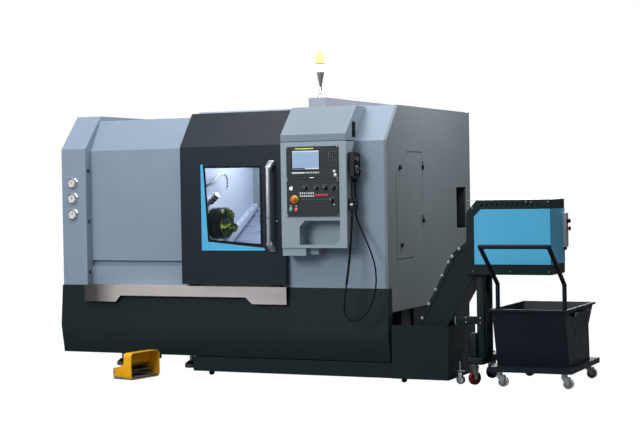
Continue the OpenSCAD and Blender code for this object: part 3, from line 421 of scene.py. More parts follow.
CABLE_D = 12
CABLE_ROUTE = [
    (2612, -112, 1520), (2612, -112, 1450), (2612, -112, 1370), (2612, -112, 1290), (2612, -122, 1200),
    (2611, -136, 1100), (2608, -150, 1000), (2600, -158, 900), (2588, -162, 800), (2574, -164, 700),
    (2560, -164, 610), (2560, -162, 540), (2585, -158, 490), (2630, -152, 472), (2685, -144, 490),
    (2735, -136, 545), (2772, -128, 620), (2792, -120, 710), (2794, -112, 800), (2780, -104, 890),
    (2748, -96, 980), (2706, -86, 1070), (2660, -74, 1160), (2622, -60, 1240), (2612, -52, 1290),
    (2612, -52, 1370), (2612, -52, 1430), (2612, -52, 1490)]


def make_cable():
    """Cable of the hand pendant: from its gland through the clip, down, and back up to its socket"""
    path = smooth_path(CABLE_ROUTE, 5)
    cable = Piece("pendant_cable_run")
    cable.tube(path, CABLE_D, rubber)
    sleeve = Piece("pendant_cable_sleeve")
    wrapped = [p for p in path[18:] if p.z > 560][:26]
    for i, (a, b) in enumerate(zip(wrapped, wrapped[1:])):
        heading = (b - a).normalized()
        sleeve.turned([(CABLE_D / 2 + 0.2, 0), (CABLE_D / 2 + 3, 1.5), (CABLE_D / 2 + 3, (b - a).length - 1),
                       (CABLE_D / 2 + 0.2, (b - a).length)], a, heading, rubber, 16)
    piece = cable.done("root")
    cover = sleeve.done("root")
    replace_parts(piece, "pendant_cable")


# CAD pieces and their finishes

def dress_all():
    for nodes, material, edge in (
            (("headstock_cover", "headstock_lower_cover", "door_surround",
              "right_front_cover", "left_end_cover"), paint, 2.5),
            (("control_column",), column_paint, 2.5),
            (("column_hood",), shaded_hood_paint, 2.5),
            (("roof_duct",), duct_paint, 2),
            (("rear_housing", "rear_covers", "roof_panel", "right_side_cover", "right_housing"),
             side_paint, 1.5),
            (("side_door",), side_paint, 0),
            (("bed_casting",), cast_iron, 0),
            (("front_skirt", "base_skirts"), dark_paint, 2.5),
            (("chip_conveyor", "conveyor_head", "coolant_tank"), dark_paint, 1.5),
            (("conveyor_legs",), dark_paint, 0),
            (("sliding_door",), door_paint, 2),
            (("head_panels", "door_trim"), cyan_paint, 0.4),
            (("cart_bin", "cart_base"), bin_paint, 1),
            (("cart_handle",), bin_paint, 0),
            (("drip_strip",), steel, 0.8),
            (("door_handle",), bar_steel, 0),
            (("levelling_feet",), zinc, 0),
            (("pressure_gauges", "signal_tower", "spindle_nose"), chrome, 0),
            (("chamber_lining",), lining_paint, 0),
            (("way_cover",), way_steel, 0.5),
            (("chuck",), chuck_steel, 0.8),
            (("chuck_jaws",), jaw_steel_painted_highlight, 0.6),
            (("cover_latches", "side_door_hinges", "pendant", "work_lamp"), black_plastic, 0),
            (("display_unit", "operator_panel"), panel_plastic, 2),
            (("panel_controls",), black_plastic, 0.5),
            (("foot_switch_guard",), yellow_coat, 2),
            (("pedal_front", "pedal_rear"), grey_plastic, 1),
            (("air_service_unit", "coolant_nozzle", "head_control_box"), zinc, 0),
            (("door_glass",), pane, 0)):
        for node in nodes:
            dress(node, material, edge)
    for corner in CORNERS:
        dress("cart_fork_" + corner, zinc, 0.4)
        dress("cart_wheel_" + corner, white_plastic, 0)


CORNERS = ("fl", "fr", "rl", "rr")


# Gauges and latches on the left end

GAUGE_X = 105
GAUGE_HEIGHTS = (1526, 1402, 1272)
GAUGE_R = 34


def make_gauges():
    """Dials, pointers and glasses of the three pressure gauges"""
    dials = Piece("gauge_dials")
    front = (0, -1, 0)
    for number, z in enumerate(GAUGE_HEIGHTS):
        centre = Vector((GAUGE_X, -20, z))
        dials.turned([(0, 0), (0, 0.8), (GAUGE_R - 0.5, 0.8), (GAUGE_R - 0.5, 0)], centre, front, white_plastic)
        for step in range(31):
            angle = math.radians(225 - 9 * step)
            long = 7 if step % 5 == 0 else 4
            way = Vector((math.cos(angle), 0, math.sin(angle)))
            dials.tube([centre + way * (29 - long) + Vector((0, -1, 0)), centre + way * 29 + Vector((0, -1, 0))],
                       1.1 if step % 5 == 0 else 0.7, black_plastic, 4)
        angle = math.radians(160 - 45 * number)
        way = Vector((math.cos(angle), 0, math.sin(angle)))
        dials.tube([centre - way * 8 + Vector((0, -2, 0)), centre + way * 24 + Vector((0, -2, 0))], 1.4,
                   red_plastic, 6)
        dials.turned([(4, 0.8), (4, 3), (2.5, 3.6), (0, 3.6)], centre, front, black_plastic, 16)
        dials.turned([(GAUGE_R, 5.2), (GAUGE_R * 0.6, 6), (0, 6.3)], centre, front, pane)
        dials.turned([(GAUGE_R + 10, -20), (GAUGE_R + 10, -17), (GAUGE_R + 6, -15.5), (GAUGE_R + 6, -20)],
                     centre, front, chrome, 40)
    dials.done("root")


def make_latches():
    """Quarter-turn latches on the step of the left end cover"""
    latches = Piece("latch_inserts")
    for z in (1622, 1211, 803):
        centre = (228, 38, z)
        latches.turned([(15, 0), (15, 2), (12, 3.2), (11.4, 3.2)], centre, (1, 0, 0), black_plastic, 24)
        latches.slab((235.8, 28, z - 2), (239, 48, z + 2), zinc, 0.6)
    latches.done("root")


# Control column

PANEL_Y = -170
SCREEN = (2154, 2376, 1592, 1734)


def keypad(piece, columns, rows, size, material, legend=None):
    """Grid of raised keys, with a plain light mark on each where legend is a finish"""
    for x in columns:
        for z in rows:
            piece.slab((x - size[0] / 2, PANEL_Y - 2.4, z - size[1] / 2),
                       (x + size[0] / 2, PANEL_Y + 0.5, z + size[1] / 2), material, 0.7)
            if legend:
                piece.slab((x - size[0] * 0.22, PANEL_Y - 2.7, z - 0.9),
                           (x + size[0] * 0.22, PANEL_Y - 2.3, z + 0.9), legend)


def spaced(first, last, count):
    """Evenly spaced values from first to last"""
    return [first + (last - first) * k / (count - 1) for k in range(count)]


def make_display():
    """Screen, soft keys and keypad of the display unit"""
    x0, x1, z0, z1 = SCREEN
    unit = Piece("display_details")
    unit.slab((x0 + 1, PANEL_Y + 2.6, z0 + 1), (x1 - 1, PANEL_Y + 3.8, z1 - 1), screen_light)
    unit.slab((x0 + 4, PANEL_Y + 2.2, z1 - 12), (x1 - 4, PANEL_Y + 2.8, z1 - 4), screen_bright)
    unit.slab((x0 + 4, PANEL_Y + 2.2, z0 + 3), (x0 + 104, PANEL_Y + 2.8, z0 + 12), screen_dark)
    unit.slab((x0 + 112, PANEL_Y + 2.2, z0 + 3), (x1 - 4, PANEL_Y + 2.8, z0 + 11), screen_bright)
    for k in range(4):
        z = z1 - 30 - 22 * k
        unit.slab((x0 + 12, PANEL_Y + 2.3, z - 1), (x0 + 60 + 9 * (k % 3), PANEL_Y + 2.8, z + 1), screen_faint)
    for low, high in (((x0 - 7, z0 - 7), (x1 + 7, z0)), ((x0 - 7, z1), (x1 + 7, z1 + 5)),
                      ((x0 - 7, z0), (x0, z1)), ((x1, z0), (x1 + 7, z1))):
        unit.slab((low[0], PANEL_Y - 3, low[1]), (high[0], PANEL_Y + 0.5, high[1]), black_plastic, 1)
    unit.slab((2184, PANEL_Y - 3.6, 1743), (2334, PANEL_Y - 2.8, 1750), strip_light, 0.3)
    unit.slab((2153, PANEL_Y - 2, 1562), (2262, PANEL_Y + 0.5, 1573), white_plastic, 0.8)
    keypad(unit, spaced(2276, 2370, 6), (1568,), (13, 11), white_plastic, screen_dark)
    keypad(unit, spaced(2160, 2372, 12), (1548,), (13, 9), panel_plastic, grey_plastic)
    keypad(unit, spaced(2400, 2436, 3), (1718, 1703, 1688, 1673, 1658), (10, 10), panel_plastic, grey_plastic)
    keypad(unit, spaced(2456, 2508, 4), (1718, 1703, 1688, 1673, 1658), (11, 10), black_plastic, white_plastic)
    keypad(unit, spaced(2400, 2508, 8), (1635, 1620, 1605), (10, 10), panel_plastic, grey_plastic)
    unit.turned([(11, -0.5), (11, 2), (8.5, 4), (0, 4.4)], (2499, PANEL_Y, 1576), (0, -1, 0), white_plastic, 24)
    unit.turned([(13, -0.5), (13, 1.6), (10, 2.4), (0, 2.4)], (2506, PANEL_Y, 1545), (0, -1, 0), zinc, 24)
    unit.slab((2296, PANEL_Y - 1.4, 1526), (2330, PANEL_Y + 0.5, 1533), zinc, 0.5)
    for x, z in ((2113, 1526), (2113, 1756), (2524, 1526), (2524, 1756)):
        unit.screw((x, PANEL_Y, z), (0, -1, 0), 9, zinc)
    unit.done("root")


KNOBS = ((2262, 1453), (2352, 1453), (2424, 1456), (2490, 1453), (2475, 1360))


def make_operator_panel():
    """Knobs, lamps, keys and stop button of the operator panel"""
    front = (0, -1, 0)
    panel = Piece("operator_details")
    for x, z in KNOBS:
        centre = Vector((x, PANEL_Y, z))
        panel.turned([(17, 0), (17, 3), (15, 4), (14, 14), (13.4, 20), (11.5, 22), (0, 22)], centre, front,
                     black_plastic, 28)
        for k in range(14):
            angle = 2 * math.pi * k / 14
            rim = centre + Vector((math.cos(angle), 0, math.sin(angle))) * 14
            panel.tube([rim + Vector((0, -5, 0)), rim + Vector((0, -19, 0))], 2.4, black_plastic, 6)
        panel.slab((x - 1.3, PANEL_Y - 22.7, z + 1), (x + 1.3, PANEL_Y - 21.8, z + 11), white_plastic, 0.3)
        for k in range(11):
            angle = math.radians(220 - 26 * k)
            way = Vector((math.cos(angle), 0, math.sin(angle)))
            panel.tube([centre + way * 21 + Vector((0, -0.6, 0)), centre + way * 26 + Vector((0, -0.6, 0))], 1.4,
                       white_plastic, 4)
    stop = Vector((2172, PANEL_Y, 1371))
    panel.turned([(31, 0), (31, 2.6), (30, 3.2), (0, 3.2)], stop, front, yellow_plastic, 40)
    panel.turned([(13, 3), (13, 20), (22, 21), (23, 25), (23, 31), (20, 35), (12, 37), (0, 37.5)], stop, front,
                 orange_plastic, 40)
    for centre, material in (((2147, 1452), pale_lamp), ((2141, 1296), green_lamp), ((2184, 1295), red_lamp)):
        place = (centre[0], PANEL_Y, centre[1])
        panel.turned([(15, 0), (15, 5), (13.4, 6.4), (12.4, 6.4)], place, front, chrome, 32)
        panel.turned([(12.4, 0), (12.4, 8.6), (10.5, 10), (0, 10.6)], place, front, material, 32)
    keypad(panel, spaced(2221, 2326, 7), (1416, 1395), (10, 13), white_plastic)
    keypad(panel, spaced(2348, 2436, 5), (1402,), (13, 13), red_lamp)
    keypad(panel, spaced(2228, 2444, 12), (1370,), (11, 11), panel_plastic, white_plastic)
    keypad(panel, spaced(2264, 2444, 10), (1339,), (11, 11), panel_plastic, grey_plastic)
    keypad(panel, spaced(2318, 2444, 7), (1314, 1289), (11, 11), panel_plastic, grey_plastic)
    for x, z in ((2141, 1322), (2184, 1322), (2493, 1330)):
        panel.slab((x - 7, PANEL_Y - 0.8, z - 3), (x + 7, PANEL_Y + 0.5, z + 3), white_plastic, 0.2)
    for x, z in ((2114, 1251), (2114, 1508), (2524, 1251), (2524, 1508)):
        panel.screw((x, PANEL_Y, z), front, 9, zinc)
    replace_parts(panel.done("root"), "panel_controls")


def make_pendant():
    """Face of the hand pendant: selector, hand wheel with its crank, gland and clip"""
    side = (1, 0, 0)
    x = 2638
    face = Piece("pendant_details")
    face.slab((x - 1, -124, 1546), (x + 1.5, -16, 1709), black_plastic, 1)
    face.turned([(22, 0), (22, 4), (17, 6), (16, 16), (12, 18), (0, 18)], (x + 1, -96, 1660), side,
                grey_plastic, 28)
    face.turned([(30, 0), (30, 8), (27, 11), (20, 11), (18, 8), (0, 8)], (x + 1, -86, 1586), side, zinc, 40)
    face.turned([(4, 8), (4, 12), (6, 14), (6.5, 30), (4, 34), (0, 34)], (x + 1, -66, 1574), side,
                black_plastic, 16)
    face.turned([(12, -30), (12, -12), (9, 0), (7, 12), (6.4, 12)], (2612, -112, 1520), (0, 0, -1),
                black_plastic, 20)
    for z in (1300, 1330, 1360):
        face.screw((2590 + 35, -82, z), side, 9, zinc)
    face.slab((2600, -131, 1318), (2626, -127.4, 1334), zinc, 0.8)
    face.done("root")


# Sliding door

HANDLE_X = 1927
HANDLE_Y = -120
HANDLE_ENDS = ((1612, 1651, 1), (1034, 995, -1))


def make_handle():
    """Door handle: a round bar between two slanted arms of flat bar with rows of holes"""
    handle = Piece("handle_bar")
    ends = [z for z, anchor, sign in HANDLE_ENDS]
    handle.turned([(0, 0), (14, 0), (15, 2), (15, ends[0] - ends[1] - 2), (14, ends[0] - ends[1]),
                   (0, ends[0] - ends[1])], (HANDLE_X, HANDLE_Y, ends[1]), (0, 0, 1), bar_steel, 32)
    handle.turned([(15.4, -1.6), (16.6, -0.8), (16.6, 0.8), (15.4, 1.6)], (HANDLE_X, HANDLE_Y, 1230), (0, 0, 1),
                  black_plastic, 28, closed=True)
    for z, anchor, sign in HANDLE_ENDS:
        inner = Vector((HANDLE_X, HANDLE_Y + 2, z - 8 * sign))
        outer = Vector((HANDLE_X, -62, anchor))
        way = (outer - inner).normalized()
        across = Vector((0, way.z, -way.y)) * sign
        corners = [inner - across * 14, inner + across * 14, outer + across * 14, outer - across * 14]
        handle.prism([(c.y, c.z) for c in corners], "x", HANDLE_X - 21, HANDLE_X + 21, bar_steel, 3)
        handle.slab((HANDLE_X - 23, -62, anchor - 18), (HANDLE_X + 23, -50.3, anchor + 18), bar_steel, 3)
        for share in (0.3, 0.55, 0.8):
            for dx in (-10, 10):
                spot = inner.lerp(outer, share) - across * 13.8 + Vector((dx, 0, 0))
                handle.turned([(4, 0), (4, 0.6), (0, 0.6)], spot, tuple(-across), black_plastic, 16)
    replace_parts(handle.done("sliding_door"), "door_handle")


def make_door_details():
    """Gasket round the window, pane screws and handle fittings on the sliding door"""
    door = Piece("door_details")
    y = -50
    outer = [(1336, 1634), (1836, 1629), (1838, 1016), (1368, 1051)]
    inner = [(1352, 1620), (1822, 1615), (1824, 1034), (1384, 1068)]
    for k in range(4):
        nxt = (k + 1) % 4
        door.prism([outer[k], outer[nxt], inner[nxt], inner[k]], "y", y - 3, y, rubber, 0.8)
    door.turned([(6, 0), (6, 2), (4, 3), (0, 3)], (1963, y, 1207), (0, -1, 0), zinc, 16)
    for z in (800, 1150, 1500):
        for x in (1150, 2015):
            door.screw((x, y, z), (0, -1, 0), 10, door_paint)
    door.done("sliding_door")


# Work chamber

CHUCK = Vector((1326, 350, 1183))
HOSE = [(1188, 205, 1484), (1226, 222, 1488), (1246, 258, 1508), (1250, 318, 1545), (1250, 385, 1571),
        (1250, 448, 1576), (1250, 492, 1564), (1250, 512, 1532), (1250, 508, 1474)]


def make_hose():
    """Segmented coolant hose of the work chamber, with its dark jointed end and nozzle"""
    hose = Piece("coolant_hose")
    hose.turned([(0, 0), (19, 0), (19, 8), (16, 12), (11, 12), (11, 20), (0, 20)], (1170, 205, 1484), (1, 0, 0),
                zinc, 24)
    path = smooth_path(HOSE, 5)
    for k, (a, b) in enumerate(zip(path, path[1:])):
        late = k > len(path) * 0.55
        radius = 7 if late else 11
        material = bead_plastic if late and k % 2 else (white_plastic if late or k % 4 else dial_plastic)
        hose.turned([(radius * 0.7, -1), (radius, 1), (radius, (b - a).length - 1), (radius * 0.7, (b - a).length)],
                    a, (b - a).normalized(), material, 14)
    hose.turned([(8, 0), (9, 6), (5, 26), (3, 26), (3, 0)], path[-1], (0, 0, -1), white_plastic, 16)
    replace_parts(hose.done("root"), "coolant_nozzle")


def make_work_lamp():
    """Work lamp: bracket, cooling fins and its bright lens"""
    lamp = Piece("chamber_lamp")
    start = Vector((1185, 310, 1338))
    tilt = math.radians(48)
    way = (math.sin(tilt), 0, math.cos(tilt))
    lamp.slab((1170, 286, 1319), (1176, 334, 1357), zinc, 1.5)
    for y in (293, 327):
        lamp.screw((1176, y, 1338), (1, 0, 0), 8, zinc)
    lamp.turned([(0, -8), (9, -8), (9, 14), (0, 14)], start, way, zinc, 16)
    lamp.turned([(0, 14), (22, 14), (22, 104), (0, 104)], start, way, black_plastic, 32)
    for k in range(6):
        low = 18 + 14 * k
        lamp.turned([(22, low), (26.5, low + 0.8), (26.5, low + 5.2), (22, low + 6)], start, way,
                    chrome if k % 2 else white_plastic, 32)
    lamp.turned([(26.5, 100), (26.5, 108), (24, 110), (0, 110)], start, way, lamp_light, 32)
    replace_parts(lamp.done("root"), "work_lamp")


def make_chamber_details():
    """Seams, screws, the sloping guide along the headstock wall and the rear guard of the work chamber"""
    inside = Piece("chamber_fittings")
    inside.prism([(560, 960), (1138, 1294), (1138, 1330), (1104, 1318), (560, 1052)], "x", 1171, 1214,
                 lining_paint, 1.5)
    for k in range(6):
        y = 640 + 88 * k
        inside.screw((1200, y, 1090 + (y - 640) * 0.489), (0, -0.44, 0.9), 12, black_plastic)
    inside.slab((1170.5, 1132, 1296), (2320, 1139, 1960), guard_paint, 1)
    for x in (1240, 1560, 1880, 2200):
        for z in (1360, 1640, 1930):
            inside.screw((x, 1132, z), (0, -1, 0), 9, zinc)
    for z in (1700, 1640):
        inside.slab((1170.2, 180, z), (1171.6, 1136, z + 1.6), grey_plastic)
    for y, z in ((420, 1620), (700, 1620), (980, 1620), (420, 980), (980, 1380)):
        inside.screw((1170, y, z), (1, 0, 0), 9, zinc)
    inside.turned([(104, 0), (112, 2), (112, 9), (104, 11)], (1170, 350, 1183), (1, 0, 0), zinc, 48)
    inside.done("root")


def make_chuck_details():
    """Cap screws, jaw guides and the sleeve in the mouth of the chuck"""
    face = Piece("chuck_fittings")
    axis = (1, 0, 0)
    face.turned([(37.8, -28), (37.8, -1), (36, 0.6), (31, 0.6), (31, -28)], CHUCK, axis, zinc, 48)
    for k in range(3):
        for side in (-1, 1):
            angle = math.radians(90 + 120 * k + 60 + 22 * side)
            face.screw(CHUCK + Vector((0, math.cos(angle), math.sin(angle))) * 96, axis, 15, jaw_steel_painted_highlight)
            angle = math.radians(90 + 120 * k + 19 * side)
            face.screw(CHUCK + Vector((0, math.cos(angle), math.sin(angle))) * 112, axis, 10, jaw_steel_painted_highlight)
    for radius in (66, 108):
        face.turned([(radius, -0.3), (radius + 0.9, 0.5), (radius + 1.8, -0.3)], CHUCK, axis, jaw_steel_painted_highlight, 64)
    face.done("chuck")


# Roof and right side

def make_tower():
    """Signal tower: chrome foot, waist and cone under a white and a yellow lens"""
    tower = Piece("signal_lamp")
    foot = (2161, 360, 2150)
    up = (0, 0, 1)
    tower.turned([(0, 0), (26, 0), (26, 5), (23, 9), (16, 30), (10.5, 60), (9, 84), (9, 96), (11, 108), (20, 150),
                  (28, 196), (29.5, 200), (0, 200)], foot, up, chrome, 40)
    for k in range(3):
        angle = math.radians(30 + 120 * k)
        tower.screw(Vector(foot) + Vector((math.cos(angle) * 21, math.sin(angle) * 21, 6)), up, 6, zinc)
    tower.turned([(29.5, 200), (35, 206), (35.5, 262), (0, 262)], foot, up, tower_white, 40)
    tower.turned([(35.8, 262), (36.8, 263), (36.8, 267), (35.8, 268)], foot, up, grey_plastic, 40)
    tower.turned([(35, 268), (35.6, 274), (35.6, 334), (34, 344), (28, 349), (0, 350)], foot, up, tower_yellow,
                 40)
    for k in range(12):
        angle = 2 * math.pi * k / 12
        rim = Vector(foot) + Vector((math.cos(angle), math.sin(angle), 0)) * 35.4
        tower.tube([rim + Vector((0, 0, 274)), rim + Vector((0, 0, 332))], 1.8, tower_yellow, 6)
    tower.turned([(20, 350), (20, 356), (15, 360), (0, 360)], foot, up, tower_yellow, 32)
    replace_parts(tower.done("root"), "signal_tower")


SERVICE_X = 2726


def make_service_unit():
    """Air service unit in its recess: valve heads, filter bowls, gauge, fittings and air line"""
    unit = Piece("air_service")
    up, out = (0, 0, 1), (1, 0, 0)
    unit.slab((2676, 1590, 1322), (2682, 1730, 1386), zinc, 1)
    unit.slab((2682, 1604, 1332), (SERVICE_X - 20, 1716, 1372), zinc, 2)
    for y in (1630, 1690):
        x = SERVICE_X
        unit.slab((x - 30, y - 26, 1328), (x + 28, y + 26, 1376), white_plastic, 4)
        unit.turned([(20, 0), (20, 6), (17, 8), (17, 28), (14, 34), (0, 34)], (x, y, 1376), up, black_plastic, 24)
        unit.turned([(24, 0), (24, -10), (22, -14), (22, -104), (16, -122), (6, -128), (0, -128)],
                    (x, y, 1328), up, bowl_plastic, 28)
        for k in range(6):
            angle = math.pi * k / 3
            rim = Vector((x, y, 0)) + Vector((math.cos(angle), math.sin(angle), 0)) * 22.6
            unit.tube([rim + Vector((0, 0, 1222)), rim + Vector((0, 0, 1316))], 3, black_plastic, 6)
        unit.turned([(5, -128), (5, -140), (7, -140), (7, -146), (0, -146)], (x, y, 1328), up, zinc, 16)
    unit.turned([(19, 0), (19, 10), (17, 12), (16, 10.5), (0, 10.5)], (SERVICE_X + 28, 1690, 1352), out, chrome, 32)
    unit.tube([(SERVICE_X + 39.2, 1690, 1352), (SERVICE_X + 39.2, 1681, 1361)], 1.4, red_plastic, 6)
    unit.turned([(11, 0), (11, 16), (13, 16), (13, 26), (0, 26)], (SERVICE_X + 28, 1630, 1352), out, zinc, 6)
    unit.tube(smooth_path([(SERVICE_X, 1604, 1352), (SERVICE_X, 1580, 1352), (SERVICE_X, 1562, 1366),
                           (SERVICE_X, 1556, 1400), (SERVICE_X, 1556, 1439)], 5), 14, rubber, 12)
    unit.turned([(12, 0), (12, 14), (9, 18), (0, 18)], (SERVICE_X, 1604, 1352), (0, -1, 0), zinc, 6)
    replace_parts(unit.done("root"), "air_service_unit")
    # Dark sheets on the walls of the recess: painted shade inside it
    lining = Piece("service_recess_painted_shade")
    lining.slab((2676.3, 1541, 1098), (2678, 1779, 1439), panel_plastic, 0.5)
    lining.slab((2678, 1777.5, 1098), (2838, 1779.7, 1439), panel_plastic, 0.5)
    lining.slab((2678, 1540.3, 1098), (2838, 1542.5, 1439), panel_plastic, 0.5)
    lining.slab((2678, 1542.5, 1437.5), (2838, 1777.5, 1439.7), panel_plastic, 0.5)
    lining.slab((2678, 1542.5, 1097.3), (2838, 1777.5, 1099.5), panel_plastic, 0.5)
    lining.done("root")


def make_side_fittings():
    """Round locks on the side door, and the screws of the right side and rear covers"""
    locks = Piece("side_door_locks")
    for y, z in ((262, 1599), (278, 1012)):
        locks.turned([(15.4, 0), (17.5, 1), (17.5, 12.5), (15, 15), (0, 15)], (2846, y, z), (1, 0, 0),
                     black_plastic, 28)
        locks.slab((2860.5, y - 9, z - 1.6), (2861.6, y + 9, z + 1.6), zinc, 0.4)
    locks.done("side_door")
    screws = Piece("cover_screws")
    for y, z in ((30, 740), (30, 1250), (30, 1770), (1860, 560), (1860, 1000), (1860, 1500), (1860, 2030),
                 (900, 2030), (900, 560), (420, 560), (1400, 560)):
        screws.screw((2846, y, z), (1, 0, 0), 9, side_paint)
    for k in range(3):
        x0, x1 = 248 + 866 * k, 1094 + 866 * k
        for x in (x0 + 28, (x0 + x1) / 2, x1 - 28):
            for z in (748, 1980):
                screws.screw((x, 1893, z), (0, 1, 0), 10, side_paint)
        for z in (1060, 1400, 1700):
            for x in (x0 + 28, x1 - 28):
                screws.screw((x, 1893, z), (0, 1, 0), 10, side_paint)
    for x, z in ((2247, 656), (2793, 663), (2790, 470), (1967, 470), (1400, 470), (700, 470), (60, 470), (60, 656)):
        screws.screw((x, -(700 - z) * 0.092 if z > 374 else -20, z), (0, -1, 0.09), 9, dark_paint)
    screws.done("root")


# Chip conveyor, tank and cart

def make_conveyor_details():
    """Flange bolts, joint strip and side seams of the chip conveyor"""
    bolts = Piece("conveyor_bolts")
    for x, z in ((3037, 412), (3072, 482), (3125, 586), (3180, 694), (3232, 796), (3283, 896), (3312, 936),
                 (3366, 992)):
        for y, way in ((96, -1), (354, 1)):
            bolts.turned([(8.5, 0), (8.5, 5), (7, 6.4), (0, 6.4)], (x, y, z), (0, way, 0), zinc, 6)
            bolts.turned([(11, 0), (11, 1.4), (8, 1.6)], (x, y, z), (0, way, 0), zinc, 20)
    for y, way in ((100, -1), (350, 1)):
        for x, z in ((2900, 370), (2960, 370), (3072, 330)):
            bolts.turned([(8, 0), (8, 5), (6.5, 6.4), (0, 6.4)], (x, y, z), (0, way, 0), zinc, 6)
    bolts.done("root")
    seam = Piece("conveyor_seam")
    for y0, y1 in ((94, 100.5), (349.5, 356)):
        seam.prism([(3386, 860), (3390, 867), (3491, 818), (3488, 811)], "y", y0, y1, dark_paint, 0.8)
    seam.done("root")


def make_head_details():
    """Control box of the conveyor head with its switch and stop button, and the head's screws"""
    out = (1, 0, 0)
    box = Piece("head_switch_box")
    box.slab((4069, 355, 995), (4097, 415, 1245), white_plastic, 3)
    box.slab((4096, 361, 1001), (4100, 409, 1239), zinc, 1)
    box.turned([(19, 0), (19, 4), (16, 6), (14, 20), (11, 24), (0, 24)], (4099, 385, 1185), out, black_plastic, 28)
    box.slab((4121, 383, 1175), (4124, 387, 1195), white_plastic, 0.4)
    box.turned([(21, 0), (21, 2), (0, 2)], (4099, 385, 1130), out, yellow_plastic, 28)
    box.turned([(9, 2), (9, 12), (17, 14), (17.4, 19), (12, 24), (0, 25)], (4099, 385, 1130), out, red_wheel, 28)
    box.turned([(9, 0), (9, 5), (7, 7), (0, 7)], (4099, 385, 1075), out, dial_plastic, 24)
    for z in (1006, 1234):
        for y in (367, 403):
            box.screw((4100, y, z), out, 6, zinc)
    box.turned([(12, 0), (12, 10), (9, 16), (9, 22), (0, 22)], (4083, 385, 995), (0, 0, -1), black_plastic, 20)
    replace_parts(box.done("root"), "head_control_box")
    head = Piece("head_fittings")
    for x, z in ((3884, 1329), (3921, 1330), (3478, 1290), (4046, 1330), (3478, 830), (4046, 830), (3760, 830)):
        head.screw((x, 75, z), (0, -1, 0), 10, zinc)
    for x, z in ((3510, 898), (3510, 1206), (4050, 898), (4050, 1262)):
        head.screw((x, 71, z), (0, -1, 0), 9, cyan_paint)
    for y, z in ((90, 900), (90, 1262)):
        head.screw((4069, y, z), out, 9, cyan_paint)
    head.slab((3431, 76, 1344.6), (4063, 429, 1346.4), duct_paint, 0.6)
    head.done("root")


def caster(piece, wheel_r, width, top, tyre, hub, plate=44):
    """Caster at its own centre: mounting plate, fork, axle and wheel"""
    x = y = 0
    piece.slab((x - plate, y - plate * 0.8, top - 5), (x + plate, y + plate * 0.8, top), zinc, 1.2)
    for dx in (-0.72, 0.72):
        for dy in (-0.5, 0.5):
            piece.screw((x + dx * plate, y + dy * plate, top), (0, 0, 1), 9, zinc)
    piece.turned([(0, -5), (wheel_r * 0.5, -5), (wheel_r * 0.5, -13), (0, -13)], (x, y, top), (0, 0, 1), zinc, 28)
    for side in (-1, 1):
        low = y + side * (width / 2 + 3)
        piece.prism([(x - wheel_r * 0.6, top - 10), (x - 12, wheel_r - 9), (x + 12, wheel_r - 9),
                     (x + wheel_r * 0.5, top - 10)], "y", low, low + side * 4, zinc, 0.8)
        piece.turned([(8, 0), (8, 5), (0, 6)], (x, low + side * 4, wheel_r), (0, side, 0), zinc, 6)
    half = width / 2
    piece.turned([(wheel_r * 0.62, -half), (wheel_r - 4, -half), (wheel_r, -half + 5), (wheel_r, half - 5),
                  (wheel_r - 4, half), (wheel_r * 0.62, half)], (x, y, wheel_r), (0, 1, 0), tyre, 48, closed=True)
    piece.turned([(0, -half + 1), (12, -half), (14, -half + 4), (wheel_r * 0.63, -half + 5),
                  (wheel_r * 0.63, half - 5), (14, half - 4), (12, half), (0, half - 1)], (x, y, wheel_r),
                 (0, 1, 0), hub, 40)


def make_legs():
    """Frame under the conveyor head with its feet, braces and casters"""
    legs = Piece("conveyor_stand")
    for y in (120, 274):
        legs.slab((3486, y, 196), (3542, y + 56, 806), dark_paint, 3)
        legs.slab((3480, y - 3, 800), (3548, y + 59, 806), dark_paint, 1)
    legs.slab((3426, 80, 150), (3542, 560, 200), dark_paint, 3)
    legs.slab((3310, 130, 441), (3487, 160, 497), dark_paint, 2)
    legs.slab((3440, 98, 200), (3486, 138, 380), dark_paint, 3)
    legs.slab((3314, 126, 436), (3322, 164, 502), zinc, 1)
    for z in (452, 486):
        legs.screw((3400, 130, z), (0, -1, 0), 11, zinc)
        legs.screw((3514, 120, z), (0, -1, 0), 11, zinc)
    legs.turned([(8, 0), (8, 60), (13, 60), (13, 70), (8, 70), (8, 84), (0, 84)], (3458, 548, 200), (0, 0, 1),
                chrome, 20)
    legs.turned([(24, 0), (24, 7), (0, 7)], (3458, 548, 200), (0, 0, 1), zinc, 24)
    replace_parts(legs.done("root"), "conveyor_legs")
    for name, y, turn, tyre, hub in (("front", 115, 55, red_wheel, red_wheel),
                                     ("rear", 525, 55, rubber, grey_plastic)):
        foot = Piece("conveyor_caster_" + name)
        caster(foot, 50, 30, 150, tyre, hub, 34)
        foot.done("root", Matrix.Translation((3466, y, 0))
                  @ Matrix.Rotation(math.radians(turn), 4, "Z"))


def make_tank_details():
    """Caster and rolled rim of the coolant tank's open end"""
    tank = Piece("tank_caster")
    x, y = 3355, 125
    tank.slab((3306, 98, 96), (3387, 152, 99), zinc, 0.8)
    tank.turned([(30.4, -13), (31, -11), (31, 11), (30.4, 13), (20, 13), (20, -13)], (x, y, 31), (0, 1, 0),
                teal_wheel, 40, closed=True)
    for side in (-1, 1):
        tank.turned([(0, 0), (21, 0), (21, 2), (10, 4), (0, 4)], (x, y + side * 12, 31), (0, side, 0),
                    white_plastic, 32)
        tank.prism([(x - 16, 92), (x - 9, 24), (x + 9, 24), (x + 16, 92)], "y", y + side * 17.5,
                   y + side * 20.5, dial_plastic, 0.6)
    tank.turned([(7, 0), (7, 60), (9, 62), (9, 70), (0, 72)], (x - 6, y, 99), (0, 0, 1), chrome, 18)
    tank.done("root")
    rim = Piece("tank_rim")
    rim.slab((2866, -0.6, 426), (3305.6, 7, 431.5), dark_paint, 1)
    rim.slab((3298, -0.6, 426), (3305.6, 620.6, 431.5), dark_paint, 1)
    rim.done("root")


CART_X, CART_Y = 3600, 0


